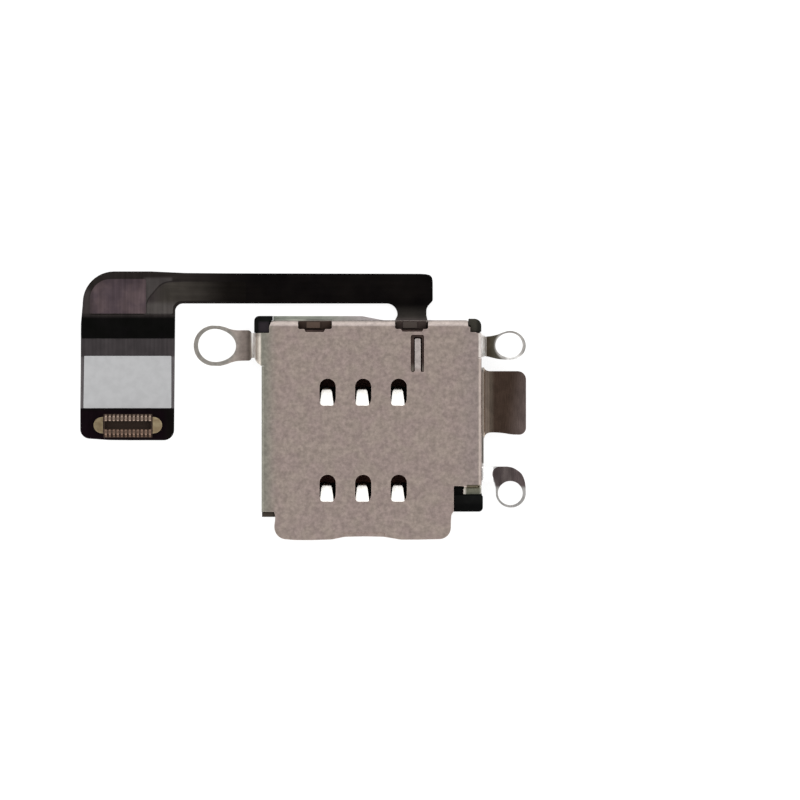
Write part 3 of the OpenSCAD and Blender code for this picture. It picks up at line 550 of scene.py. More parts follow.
def rounded(corners, step=12):
    """A closed outline from corners (x, y, radius)."""
    out, n = [], len(corners)
    for i, c in enumerate(corners):
        p = Vector(c[:2])
        r = c[2] if len(c) > 2 else 0
        a = (Vector(corners[i - 1][:2]) - p).normalized()
        b = (Vector(corners[(i + 1) % n][:2]) - p).normalized()
        half = math.acos(max(-1, min(1, a.dot(b)))) / 2
        if not r or abs(math.pi / 2 - half) < 1e-3:
            out.append((p.x, p.y))
            continue
        back = r / math.tan(half)
        o = p + (a + b).normalized() * r / math.sin(half)
        s, e = p + a * back - o, p + b * back - o
        turn = math.atan2(s.x * e.y - s.y * e.x, s.dot(e))
        k = max(2, math.ceil(abs(math.degrees(turn)) / step))
        for j in range(k + 1):
            f = turn * j / k
            out.append((o.x + s.x * math.cos(f) - s.y * math.sin(f), o.y + s.x * math.sin(f) + s.y * math.cos(f)))
    return out


def arc(cx, cy, r, a0, a1, step=8):
    """Points on a circle from angle a0 to a1, in degrees."""
    k = max(2, math.ceil(abs(a1 - a0) / step))
    return [(cx + r * math.cos(math.radians(a0 + (a1 - a0) * j / k)), cy + r * math.sin(math.radians(a0 + (a1 - a0) * j / k)))
            for j in range(k + 1)]


def area_of(loop):
    return sum(a[0] * b[1] - b[0] * a[1] for a, b in zip(loop, loop[1:] + loop[:1])) / 2


def is_in(loop, x, y):
    inside = False
    for (x0, y0), (x1, y1) in zip(loop, loop[1:] + loop[:1]):
        if (y0 > y) != (y1 > y) and x < (x1 - x0) * (y - y0) / (y1 - y0) + x0:
            inside = not inside
    return inside


def clean(loop, longest):
    """Drops repeated points and cuts long sides."""
    out = []
    for p in loop:
        if not out or math.dist(p, out[-1]) > 2e-4:
            out.append(tuple(p))
    while math.dist(out[0], out[-1]) < 2e-4:
        out.pop()
    cut = []
    for a, b in zip(out, out[1:] + out[:1]):
        n = max(1, math.ceil(math.dist(a, b) / longest))
        cut += [(a[0] + (b[0] - a[0]) * k / n, a[1] + (b[1] - a[1]) * k / n) for k in range(n)]
    return cut


class Build:
    """Collects vertices in millimetres with their normals, and makes one object of them."""

    def __init__(self):
        self.co, self.no, self.faces = [], [], []

    def add(self, p, n):
        self.co.append(tuple(p))
        self.no.append(tuple(n))
        return len(self.co) - 1

    def sheet(self, loops, t, place, lines=(), edge=0.02, longest=1.0, top=None, seg=3):
        """A sheet of gauge t over the region that loops bound: an outline, then holes. place(u, v) gives the middle
        surface's point, its two unit tangents and its normal. Edges are rounded to the radius edge. lines are
        (axis, value, from, to): cuts that let the sheet bend. top(u, v) is how far the upper face is pressed down."""
        flat_ = lambda *_: 0.0
        top = top or flat_
        loops = [clean(l, longest) for l in loops]
        loops = [l if (area_of(l) > 0) == (i == 0) else l[::-1] for i, l in enumerate(loops)]
        insets = []
        outs = []
        for l in loops:
            n, ins, out = len(l), [], []
            for i, p in enumerate(l):
                a = Vector(p) - Vector(l[i - 1])
                b = Vector(l[(i + 1) % n]) - Vector(p)
                na, nb = Vector((-a.y, a.x)).normalized(), Vector((-b.y, b.x)).normalized()
                m = na + nb
                m = m / max(m.dot(na), 0.5) if m.length > 1e-6 else na
                ins.append((p[0] + m.x * edge, p[1] + m.y * edge))
                out.append((-m.x, -m.y))
            insets.append(ins)
            outs.append(out)
        # cut the loops where the lines cross them, in step with each other
        crossings = []
        for axis, value, lo, hi in lines:
            k = 0 if axis == "u" else 1
            hits = []
            for q in range(len(loops)):
                i = 0
                while i < len(insets[q]):
                    a, b = insets[q][i], insets[q][(i + 1) % len(insets[q])]
                    if (a[k] - value) * (b[k] - value) < 0:
                        f = (value - a[k]) / (b[k] - a[k])
                        mid = lambda s, e: tuple(x + (y - x) * f for x, y in zip(s, e))
                        other = a[1 - k] + (b[1 - k] - a[1 - k]) * f
                        if min(f, 1 - f) * math.dist(a, b) > 5e-4:
                            j = (i + 1) % len(insets[q])
                            new_in = mid(a, b)
                            new_lo = mid(loops[q][i], loops[q][j])
                            new_out = mid(outs[q][i], outs[q][j])
                            insets[q].insert(i + 1, new_in)
                            loops[q].insert(i + 1, new_lo)
                            outs[q].insert(i + 1, new_out)
                            i += 1
                        hits.append(other)
                    i += 1
            hits.sort()
            for a, b in zip(hits[::2], hits[1::2]):
                a, b = max(a, lo), min(b, hi)
                if b - a > 2e-3:
                    crossings.append((((value, a), (value, b)) if k == 0 else ((a, value), (b, value))))
        pts, edges, first = [], [], []
        for ins in insets:
            s = len(pts)
            first.append(s)
            pts += [Vector(p) for p in ins]
            edges += [(s + i, s + (i + 1) % len(ins)) for i in range(len(ins))]
        for a, b in crossings:
            n = max(1, math.ceil(math.dist(a, b) / longest))
            s = len(pts)
            pts += [Vector(a).lerp(Vector(b), j / n) for j in range(n + 1)]
            edges += [(s + j, s + j + 1) for j in range(n)]
        from mathutils.geometry import delaunay_2d_cdt
        vs, _, tris, origin, _, _ = delaunay_2d_cdt(pts, edges, [], 0, 1e-4)
        where = {}
        for i, o in enumerate(origin):
            for j in o:
                where[j] = i
        kept = []
        for tri in tris:
            c = sum((vs[i] for i in tri), Vector((0, 0))) / len(tri)
            if is_in(insets[0], c.x, c.y) and not any(is_in(h, c.x, c.y) for h in insets[1:]):
                kept.append(tri)
        used = {i for tri in kept for i in tri} | {where[s + j] for s, ins in zip(first, insets) for j in range(len(ins))}
        up, down = {}, {}
        for i in used:
            u, v = vs[i]
            p, _, _, n = place(u, v)
            up[i] = self.add(p + n * (t / 2 - top(u, v)), n)
            down[i] = self.add(p - n * t / 2, -n)
        for tri in kept:
            a, b, c = (vs[i] for i in tri[:3])
            tri = list(tri) if (b - a).cross(c - a) > 0 else list(tri)[::-1]
            self.faces.append([up[i] for i in tri])
            self.faces.append([down[i] for i in reversed(tri)])
        e = min(edge, t / 2 - 1e-4)
        for q, l in enumerate(loops):
            n = len(l)
            rows = []
            prof = [(edge - edge * math.sin(f), t / 2 - e + e * math.cos(f), math.cos(f), math.sin(f))
                    for f in (math.pi / 2 * j / seg for j in range(seg + 1))]
            prof += [(x, -z, -cz, cx) for x, z, cz, cx in reversed(prof)]
            for j, (x, z, cz, cx) in enumerate(prof):
                if j == 0 or j == len(prof) - 1:
                    src = up if j == 0 else down
                    rows.append([src[where[first[q] + i]] for i in range(n)])
                    continue
                row = []
                for i in range(n):
                    o = outs[q][i]
                    u, v = l[i][0] - o[0] * x, l[i][1] - o[1] * x
                    p, tu, tv, nn = place(u, v)
                    press = top(*insets[q][i]) if z > 0 else 0.0
                    out = (tu * o[0] + tv * o[1]).normalized()
                    row.append(self.add(p + nn * (z - press * min(1, z / (t / 2))), (out * cx + nn * cz).normalized()))
                rows.append(row)
            for r0, r1 in zip(rows, rows[1:]):
                for i in range(n):
                    j = (i + 1) % n
                    self.faces.append([r0[i], r1[i], r1[j], r0[j]])

    def object(self, name, material, body, slot, *replaced):
        me = bpy.data.meshes.new(name)
        me.from_pydata([Vector(c) * MM for c in self.co], [], self.faces)
        me.update()
        for p in me.polygons:
            p.use_smooth = True
        # a face that stands off its corners' normals, such as a pressed step, keeps its own
        loops_n = []
        for p in me.polygons:
            mean = sum((Vector(self.no[i]) for i in p.vertices), Vector((0, 0, 0)))
            hard = mean.length < 1e-6 or p.area > 0 and p.normal.angle(mean, 0) > math.radians(24)
            loops_n += [tuple(p.normal) if hard else self.no[i] for i in p.vertices]
        me.normals_split_custom_set(loops_n)
        me.materials.append(material)
        o = bpy.data.objects.new(name, me)
        scene.collection.objects.link(o)
        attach(o, body)
        if replaced:
            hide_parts(*replaced)
        return o


def level(z):
    """A flat sheet whose middle lies at z."""
    x, y, up = Vector((1, 0, 0)), Vector((0, 1, 0)), Vector((0, 0, 1))
    return lambda u, v: (Vector((u, v, z)), x, y, up)


def flange(path, start, way):
    """Places a flange along X: it leaves the line x = start towards way, and u - start is its length."""
    def at(u, v):
        p, z, dp, dz = path.at((u - start) * way)
        tu = Vector((dp, 0, dz)) * way
        return Vector((p, v, z)), tu, Vector((0, 1, 0)), Vector((-tu.z, 0, tu.x))
    return at


def flange_y(path, start, way):
    """The same along Y."""
    def at(u, v):
        p, z, dp, dz = path.at((v - start) * way)
        tv = Vector((0, dp, dz)) * way
        return Vector((u, p, z)), Vector((1, 0, 0)), tv, Vector((0, -tv.z, tv.y))
    return at


def cuts(axis, path, start, way, lo, hi, degrees=11):
    """Cut lines that let a sheet follow a path's bends."""
    return [(axis, start + way * s + 1.3e-4, lo, hi) for s in path.steps(degrees)]


def smooth(points, n=6):
    """A flowing line through points."""
    out = []
    for i in range(len(points) - 1):
        a, b = Vector(points[i]), Vector(points[i + 1])
        ta = (b - Vector(points[max(i - 1, 0)])) / (2 if i else 1)
        tb = (Vector(points[min(i + 2, len(points) - 1)]) - a) / (2 if i + 2 < len(points) else 1)
        for k in range(n):
            t = k / n
            q = a * (2 * t ** 3 - 3 * t ** 2 + 1) + ta * (t ** 3 - 2 * t ** 2 + t) + b * (3 * t ** 2 - 2 * t ** 3) + tb * (t ** 3 - t ** 2)
            out.append((q.x, q.y))
    return out + [tuple(points[-1])]


# ---------------------------------------------------------------- shield shell with its two ears

S_LEFT, S_RIGHT, S_REAR, S_TAB = XL + BEND_LEFT, XR - BEND_RIGHT, YR - BEND_REAR, -5.70
rear_wall = Path((S_REAR, FACE_C), (YR - T / 2, FACE_C, BEND_REAR - T / 2), (YR - T / 2, WALL_Z))
left_wall = Path((S_LEFT, FACE_C), (XL + T / 2, FACE_C, BEND_LEFT - T / 2), (XL + T / 2, WALL_Z))
right_wall = Path((S_RIGHT, FACE_C), (XR - T / 2, FACE_C, BEND_RIGHT - T / 2), (XR - T / 2, WALL_Z))
left_strap = Path((S_LEFT, FACE_C), (-3.14, FACE_C, 0.28), (-3.54, EAR_C, 0.34), (-8.2, EAR_C))
right_strap = Path((S_RIGHT, FACE_C), (12.62, FACE_C, 0.16), (13.04, EAR_C, 0.13), (16.5, EAR_C))
tab_path = Path((S_TAB, FACE_C), (-5.78, FACE_C, 0.1), (-5.89, FACE_C - 0.3, 0.1), (-6.34, FACE_C - 0.3))
tab_end = Path((11.62, FACE_C - 0.3), (11.5, FACE_C - 0.3, 0.09), (11.43, FACE_C - 0.52))
finger = Path((2.3, FACE_C), (2.66, FACE_C, 1.6), (4.8, FACE_C - 2.14 * math.tan(math.radians(5))))

REAR_END, RIGHT_END, LEFT_END = S_REAR + rear_wall.length, S_RIGHT + right_wall.length, S_LEFT - left_wall.length

flat = level(FACE_C)
on_left, on_left_strap = flange(left_wall, S_LEFT, -1), flange(left_strap, S_LEFT, -1)
on_right, on_right_strap = flange(right_wall, S_RIGHT, 1), flange(right_strap, S_RIGHT, 1)
on_rear, on_tab, on_finger = flange_y(rear_wall, S_REAR, 1), flange_y(tab_path, S_TAB, -1), flange_y(finger, 2.3, 1)


def shell_place(u, v):
    if v > S_REAR and -2.42 < u < 11.9:
        return on_rear(u, v)
    if u < S_LEFT:
        return on_left_strap(u, v) if v > 2.82 or u < LEFT_END - 0.1 else on_left(u, v)
    if u > S_RIGHT and (v > 3.42 or u > RIGHT_END + 0.1):
        return on_right_strap(u, v)
    if u > S_RIGHT and v > -5.77:
        return on_right(u, v)
    if v < S_TAB and u > 11.0:
        p, tu, tv, n = on_tab(u, v)
        if u < 11.62 and v < -5.9:
            x, z, dx, dz = tab_end.at(11.62 - u)
            tu = Vector((-dx, 0, -dz))
            return Vector((x, p.y, p.z + z - (FACE_C - 0.3))), tu, tv, tu.cross(tv).normalized()
        return p, tu, tv, n
    if 7.97 < u < 8.445 and 2.3 < v < 4.9:
        return on_finger(u, v)
    return flat(u, v)


def L(x, y, r=0):
    """A plan point of the left ear as a place on the flat blank."""
    return (S_LEFT - left_strap.s_of(x), y, r)


def R(x, y, r=0):
    """The same for the upper right ear."""
    return (S_RIGHT + right_strap.s_of(x), y, r)


def unfold(side, points):
    return [side(*p)[:2] for p in points]


def ring(a0, a1):
    """Outer edge of the left ear, a little fuller at the lower left."""
    n = round(abs(a1 - a0) / 7)
    out = []
    for k in range(n + 1):
        a = math.radians(a0 + (a1 - a0) * k / n)
        r = 1.45 + 0.055 * math.cos(a - math.radians(200))
        out.append((-6.34 + r * math.cos(a), 4.3 + r * math.sin(a)))
    return out


def window(x, y):
    r = 0.58
    return [(x + a, y + b) for a, b in arc(0, 1.34, r, 0, 180, 9) + smooth(
        [(-r, 1.34), (-r, 0.8), (-0.57, 0.35), (-0.5, 0.09), (-0.36, 0.0), (0.0, 0.0), (0.32, 0.0), (0.47, 0.14), (0.57, 0.45), (r, 0.9), (r, 1.34)], 3)[1:-1]]


def lip_step(u, v):
    """The thinned front edge of the lip."""
    return 0.055 * max(0.0, min(1.0, (u - 2.93) / 0.03, (5.84 - u) / 0.03, (-9.09 - v) / 0.03))


def shield():
    tab_v = lambda y: S_TAB - tab_path.s_of(y)
    out = rounded([(-2.24, REAR_END, 0.12), (11.79, REAR_END, 0.12), (11.79, 5.66), (11.95, 5.6, 0.04), (11.95, 5.24, 0.05),
                   (12.34, 5.24, 0.06), (12.42, 5.18, 0.06), R(12.68, 5.18, 0.1), R(12.86, 5.0, 0.12), R(13.09, 4.93, 0.2), R(13.45, 4.97)])
    out += unfold(R, smooth([(13.45, 4.97), (13.9, 5.07), (14.25, 5.21), (14.604, 5.322)], 4)[1:-1])
    out += unfold(R, [(14.8 + (x - 14.8) * 1.13, 4.272 + (y - 4.3) * (1.065 if y > 4.3 else 1.02)) for x, y in arc(14.8, 4.3, 1.0, 100, -100, 7)])
    out += unfold(R, smooth([(14.604, 3.268), (14.3, 3.29), (13.95, 3.325), (13.6, 3.40)], 4)[1:])
    out += rounded([R(13.7, 3.375), R(13.2, 3.50, 0.15), R(12.95, 3.52, 0.05), R(12.84, 3.49, 0.05), R(12.78, 3.43, 0.03), (S_RIGHT, 3.43),
                    (S_RIGHT, 3.41), (RIGHT_END, 3.41, 0.12), (RIGHT_END, -5.75, 0.12), (S_RIGHT, -5.75), (S_RIGHT, -5.79),
                    (12.75, tab_v(-5.84), 0.07), (12.75, tab_v(-6.34), 0.14), (11.62 - tab_end.length, tab_v(-6.34), 0.1),
                    (11.62 - tab_end.length, tab_v(-6.0), 0.05), (11.5, tab_v(-5.98), 0.04), (11.5, -5.75, 0.06), (10.77, -5.75, 0.07),
                    (10.77, -7.54, 0.2), (10.6, -7.82, 0.35), (10.565, -8.3, 0.5), (10.565, LIP_Y + 0.07, 0.83), (8.2, LIP_Y + 0.015, 3), (7.0, LIP_Y + 0.015, 1.2),
                    (5.75, LIP_Y + 0.222, 1.2), (4.4, LIP_Y + 0.247, 3), (2.98, LIP_Y + 0.217, 1.2), (2.05, LIP_Y + 0.027, 1.2), (0.6, LIP_Y - 0.02, 3),
                    (-0.6, LIP_Y - 0.015, 3), (-2.05, LIP_Y + 0.11, 0.86), (-2.05, -8.55, 0.6), (-1.99, -8.15, 0.4), (-2, -7.85, 0.15), (-2.06, FRONT_Y, 0.06),
                    (LEFT_END, FRONT_Y, 0.12), (LEFT_END, 2.812, 0.12), (S_LEFT, 2.812), (S_LEFT, 2.828), L(-2.98, 2.828, 0.08),
                    L(-3.12, 2.98, 0.1), L(-3.33, 3.22, 0.1), L(-3.42, 3.4, 0.08), L(-3.71, 3.4), L(-3.73, 3.35)])[1:-1]
    out += unfold(L, arc(-3.92, 3.415, 0.21, -30, -90, 12))
    out += unfold(L, smooth([(-4.3, 3.203), (-4.72, 3.175), (-5.12, 3.08), (-5.545, 2.923), (-5.945, 2.827)], 5))
    out += unfold(L, ring(262, 98))
    out += unfold(L, smooth([(-5.97, 5.70), (-5.59, 5.61), (-5.19, 5.462), (-4.75, 5.392), (-4.3, 5.388)], 5))
    out += unfold(L, arc(-3.955, 5.143, 0.245, 90, 14, 12))
    out += rounded([L(-3.73, 5.3), L(-3.717, 5.18), (S_LEFT, 5.18), (-2.42, 5.18, 0.05), (-2.42, 5.60, 0.06), (-2.24, 6.06, 0.08), (-2.24, 6.2)])[1:-1]
    egg = []
    for k in range(60):
        a = math.radians(6 * k)
        r = 1.175 + 0.36 * ((1 + math.cos(a + 0.07)) / 2) ** 6
        egg.append((-6.34 + r * math.cos(a), 4.3 + r * math.sin(a)))
    pear = []
    for k in range(48):
        a = math.radians(7.5 * k)
        r = 0.90 + 0.145 * ((1 - math.cos(a)) / 2) ** 5
        pear.append((14.8 + r * math.cos(a), 4.3 + r * math.sin(a) * (1.0 if k < 24 else 0.955)))
    holes = [unfold(L, egg), unfold(R, pear)] + [window(x, y) for x in COLUMNS for y in ROWS]
    holes.append(rounded([(7.69, 2.39, 0.13), (7.985, 2.39, 0.13), (7.985, 4.8, 0.12), (8.41, 4.8, 0.12), (8.41, 2.39, 0.1),
                          (8.65, 2.39, 0.1), (8.65, 5.05, 0.14), (7.69, 5.05, 0.14)]))
    low = REAR_END - (1.3 - WALL_Z)
    for x0, n0, n1, x1, y, d in ((-0.35, 0.09, 1.58, 2.06, 5.46, 0.21), (6.58, 7.0, 8.6, 8.94, 5.46, 0.185)):
        holes.append(rounded([(x0, y, 0.12), (n0, y, 0.04), (n0 + 0.09, y - d, 0.07), (n1 - 0.09, y - d, 0.07), (n1, y, 0.04), (x1, y, 0.12),
                              (x1, low, 0.1), (x0, low, 0.1)]))
    for y in (-5.4, -0.4):
        u = [S_LEFT - left_wall.length + (z - WALL_Z) for z in (1.2, 1.8)]
        holes.append(rounded([(u[0], y, 0.08), (u[1], y, 0.08), (u[1], y + 1.2, 0.08), (u[0], y + 1.2, 0.08)]))
    lines = cuts("v", rear_wall, S_REAR, 1, -2.42, 11.9) + cuts("u", left_wall, S_LEFT, -1, -8, 2.82)
    lines += cuts("u", left_strap, S_LEFT, -1, 2.82, 5.6) + cuts("u", right_wall, S_RIGHT, 1, -5.77, 3.42)
    lines += cuts("u", right_strap, S_RIGHT, 1, 3.42, 5.6) + cuts("v", tab_path, S_TAB, -1, 11.2, 12.9)
    lines += cuts("u", tab_end, 11.62, -1, -7.2, -5.9) + cuts("v", finger, 2.3, 1, 7.97, 8.445)
    lines += [("u", u + 1.3e-4, -9.8, -9.05) for u in (2.93, 2.96, 5.81, 5.84)]
    lines += [("v", v + 1.3e-4, 2.9, 5.87) for v in (-9.09, -9.12)]
    b = Build()
    b.sheet([out] + holes, T, shell_place, lines, edge=0.022, longest=1.2, top=lip_step)
    return b.object("shield_shell", M["shell_steel"], "reader", "shell_steel", "top_shell", "left_ear", "upper_right_ear")


# ---------------------------------------------------------------- side bracket and flat plates


def bracket():
    w = XR + T / 2
    leaf = Path((w, 2.0), (w, EAR_C, 0.55), (16.5, EAR_C))
    lower = Path((w, 2.0), (w, 0.75))
    strap = Path((w, 2.0), (w, 1.42, 0.12), (13.56, EAR_C, 0.12), (16.5, EAR_C))
    on_leaf, on_lower, on_strap = flange(leaf, 0, 1), flange(lower, 0, 1), flange(strap, 0, 1)
    place = lambda u, v: on_leaf(u, v) if v > -2.55 else on_lower(u, v) if v > -4.39 and u < 1.4 else on_strap(u, v)
    f = lambda pts: [(strap.s_of(x), y) for x, y in pts]
    root = lambda pts: [(leaf.s_of(x), y) for x, y in pts]
    out = rounded([(0.0, -3.0), (0, 2.64, 0.12), (0.60, 2.68, 0.2), (0.70, 2.74)])[1:-1]
    out += root(smooth([(12.88, 2.73), (12.92, 2.65), (13.0, 2.565), (13.12, 2.50), (13.26, 2.468), (13.45, 2.46)], 3))
    out += rounded(root([(13.5, 2.46)]) + [(leaf.s_of(15.95), 2.46, 0.6), (leaf.s_of(15.95), -2.10, 0.5)] + root([(15.2, -2.09)]))[1:-1]
    out += root(smooth([(15.35, -2.09), (14.9, -2.07), (14.4, -1.99), (13.9, -1.94), (13.45, -1.935), (13.2, -1.975), (13.05, -2.06), (12.95, -2.17), (12.90, -2.32)], 3))
    out += rounded([(0.75, -2.4), (0.68, -2.53), (0.55, -2.53), (0.55, -2.57), (1.25, -2.57, 0.1), (1.25, -4.36, 0.1), (0.42, -4.36), (0.42, -4.42),
                   (strap.s_of(13.42), -4.42), (strap.s_of(13.66), -4.37, 0.22), (strap.s_of(14.3), -4.37)])
    out += f(smooth([(14.6, -4.37), (14.95, -4.435), (15.28, -4.60), (15.64, -4.905), (15.85, -5.38), (15.92, -5.85), (15.94, -6.28)], 4)[:-1])
    out += f([(x, -6.28 + (y + 6.28) * 0.965) for x, y in arc(14.865, -6.28, 1.075, 0, -176, 7)])
    out += rounded([(strap.s_of(13.79), -6.2), (strap.s_of(13.78), -5.92, 0.3), (strap.s_of(13.65), -5.42, 0.12), (0.15, -5.42, 0.1), (0.15, -4.46, 0.05),
                    (0.0, -4.40, 0.06), (0.0, -3.0)])[1:-1]
    hole = f([(x + 0.02, -6.262 + (y + 6.24) * 0.972) for x, y in arc(14.8, -6.24, 0.88, 0, 360, 7.5)[:-1]])
    lines = cuts("u", leaf, 0, 1, -2.55, 3.2, 9) + cuts("u", strap, 0, 1, -7.6, -4.39, 9)
    b = Build()
    b.sheet([out, hole], T, place, lines, edge=0.022, longest=1.2)
    return b.object("side_bracket_sheet", M["bracket_steel"], "reader", "bracket_steel", "side_bracket")


def plates():
    b = Build()
    b.sheet([rounded([(-2.15, 6.41), (4.22, 6.41, 1.4), (5.70, 6.12, 1.4), (11.7, 6.12, 0.2), (11.95, 5.9, 0.15), (12.7, 5.9, 0.25),
                      (12.7, -7.45, 0.3), (-2.85, -7.45, 0.3), (-2.85, 5.95, 0.2), (-2.15, 5.95)])],
            T, level(T / 2), edge=0.022, longest=2)
    b.object("base_plate_sheet", M["plate_steel"], "reader", "plate_steel", "base_plate")
    b = Build()
    b.sheet([rounded([(-15.83, -2.32, 0.4), (-9.3, -2.32, 0.4), (-9.3, 3.95, 0.3), (-15.83, 3.95, 0.3)])],
            T, level(T / 2), edge=0.022, longest=2)
    b.object("stiffener_sheet", M["plate_steel"], "reader", "plate_steel", "connector_stiffener")


def corner_fillet():
    """Fills the housing's rear left corner up to the slanted end of the shell's rear wall."""
    b = Build()
    b.sheet([rounded([(-2.385, 5.70, 0.01), (-2.25, 6.02, 0.02), (-2.25, 6.085, 0.01), (-2.385, 6.085, 0.01)])], 2.24, level(1.36), edge=0.012, longest=2)
    b.object("corner_fillet", M["black_housing"], "reader", "black_housing")


def insulator():
    """The moulded plate under the shell, open under the windows and the spring finger."""
    b = Build()
    holes = [rounded([(x - 0.62, y - 0.04, 0.08), (x + 0.62, y - 0.04, 0.08), (x + 0.62, y + 1.98, 0.3), (x - 0.62, y + 1.98, 0.3)])
             for x in COLUMNS for y in ROWS]
    holes.append(rounded([(7.93, 2.3, 0.1), (8.49, 2.3, 0.1), (8.49, 4.88, 0.1), (7.93, 4.88, 0.1)]))
    b.sheet([rounded([(-2.26, 5.68, 0.05), (-0.4, 5.68, 0.05), (-0.4, 5.41, 0.05), (2.1, 5.41, 0.05), (2.1, 5.68, 0.05),
                      (6.55, 5.68, 0.05), (6.55, 5.41, 0.05), (8.9, 5.41, 0.05), (8.9, 5.68, 0.05), (11.74, 5.68, 0.05),
                      (11.74, 5.2, 0.05), (12.4, 5.2, 0.05), (12.4, -5.72, 0.05), (10.76, -5.72, 0.05), (10.76, -7.58, 0.1),
                      (-2.72, -7.58, 0.1), (-2.72, 5.12, 0.05), (-2.26, 5.12, 0.05)])] + holes,
            Z_FACE - Z_RAIL - 0.004, level((Z_FACE + Z_RAIL) / 2), edge=0.03, longest=1.5)
    b.object("insulator_plate", M["insulator"], "reader", "black_housing", "upper_insulator")


# ---------------------------------------------------------------- card contacts


def contact(c, r, upper):
    x, y, t = COLUMNS[c], ROWS[r], 0.08
    back = 0.25 + 0.16 * c if upper else 0.7
    zc = Z_FACE - 0.14 - t / 2 if upper else Z_PAD + t / 2
    d = -1 if upper else 1
    path = Path((y - back, zc), (y - 0.1, zc, 0.14), (y + 1.17, zc + d * 0.5, 0.16), (y + 1.25, zc + d * 0.72))
    s = lambda q: path.s_of(y + q)
    out = rounded([(x + 0.42, 0, 0.04), (x + 0.42, s(-0.12), 0.03), (x + 0.42, s(0.15), 0.15), (x + 0.31, path.length - 0.42, 0.15),
                   (x + 0.20, path.length - 0.21, 0.12), (x + 0.14, path.length, 0.08), (x - 0.28, path.length, 0.08),
                   (x - 0.34, path.length - 0.21, 0.12), (x - 0.46, path.length - 0.42, 0.15), (x - 0.56, s(0.15), 0.15),
                   (x - 0.42, s(-0.10), 0.03), (x - 0.42, 0, 0.04)])
    b = Build()
    b.sheet([out], t, flange_y(path, 0, 1), cuts("v", path, 0, 1, x - 1, x + 1, 9), edge=0.016, longest=0.5)
    if upper:
        ly = y - 0.2 - 0.16 * c
        lead = Path((x - 0.41, zc), (-2.45, zc, 0.07), (-2.45, Z_PAD))
        end = lead.length
        b.sheet([[(0, ly - 0.05), (end, ly - 0.05), (end, ly + 0.05), (0, ly + 0.05)]], t, flange(lead, 0, 1),
                cuts("u", lead, 0, 1, ly - 1, ly + 1, 15), edge=0.012, longest=2)
    kind = "upper" if upper else "lower"
    k = 1 + c + 3 * r
    return b.object(f"{kind}_spring_{k}", M["nickel_contact" if upper else "gold_contact"], "reader",
                    "nickel_contact" if upper else "gold_contact", f"{kind}_contact_{k}")


# ---------------------------------------------------------------- board connector

CONN_X, CONN_Y, CONN_TOP = -12.55, (-0.94, -1.9), Z_PAD + 0.54


def pins():
    b, t = Build(), 0.06
    for y, s, foot in ((CONN_Y[0], 1, 0.28), (CONN_Y[1], -1, 0.36)):
        path = Path((y + s * foot, Z_PAD + t / 2), (y + s * 0.16, Z_PAD + t / 2, 0.045), (y + s * 0.16, CONN_TOP - t / 2, 0.06),
                    (y - s * 0.16, CONN_TOP - t / 2, 0.06), (y - s * 0.16, Z_PAD + 0.22))
        for i in range(12):
            x = CONN_X + (i - 5.5) * 0.287
            out = rounded([(x - 0.075, 0, 0.02), (x + 0.075, 0, 0.02), (x + 0.075, path.length, 0.02), (x - 0.075, path.length, 0.02)], 30)
            b.sheet([out], t, flange_y(path, 0, 1), cuts("v", path, 0, 1, x - 1, x + 1, 22), edge=0.014, longest=2, seg=2)
    return b.object("pin_strips", M["pin_gold"], "reader", "pin_gold", "connector_pins")


def cap(side, name, node):
    """Domed hold-down cap with a leg and a foot."""
    t, h = 0.06, 1.782
    z0 = CONN_TOP - t / 2

    def dome(u, v):
        f = (u - h) / 0.72
        g = (v + 1.41) / 0.62
        z = z0 - 0.045 * f * f - 0.03 * g * g
        fx, gy = -0.09 * f / 0.72, -0.06 * g / 0.62
        tu, tv = Vector((side, 0, fx)).normalized(), Vector((0, 1, gy)).normalized()
        return Vector((CONN_X + side * u, v, z)), tu, tv, tu.cross(tv).normalized()

    b = Build()
    out = [(h, -1.41 - 0.58)] + [(h + 0.05 + 0.62 * math.cos(a), -1.41 + 0.58 * math.sin(a)) for a in (math.radians(d) for d in range(-90, 91, 9))] + [(h, -1.41 + 0.58)]
    lines = [("u", h + 0.09 * k, -3, 0) for k in range(1, 8)] + [("v", -1.41 + 0.15 * k + 1.3e-4, 1.7, 2.6) for k in range(-3, 4)]
    b.sheet([out], t, dome, lines, edge=0.022, longest=0.2)
    leg = Path((2.22, z0 - 0.05), (2.33, z0 - 0.05, 0.04), (2.33, Z_PAD + t / 2, 0.04), (2.44, Z_PAD + t / 2))

    def on_leg(u, v):
        p, z, dp, dz = leg.at(u)
        tu, tv = Vector((side * dp, 0, dz)), Vector((0, 1, 0))
        return Vector((CONN_X + side * p, v, z)), tu, tv, tu.cross(tv)
    b.sheet([rounded([(0, -1.56, 0.03), (leg.length, -1.56, 0.05), (leg.length, -1.28, 0.05), (0, -1.28, 0.03)])], t, on_leg,
            cuts("u", leg, 0, 1, -3, 0, 15), edge=0.016, longest=1)
    return b.object(name, M["fitting_gold"], "reader", "fitting_gold", node)


# ---------------------------------------------------------------- flexible circuit

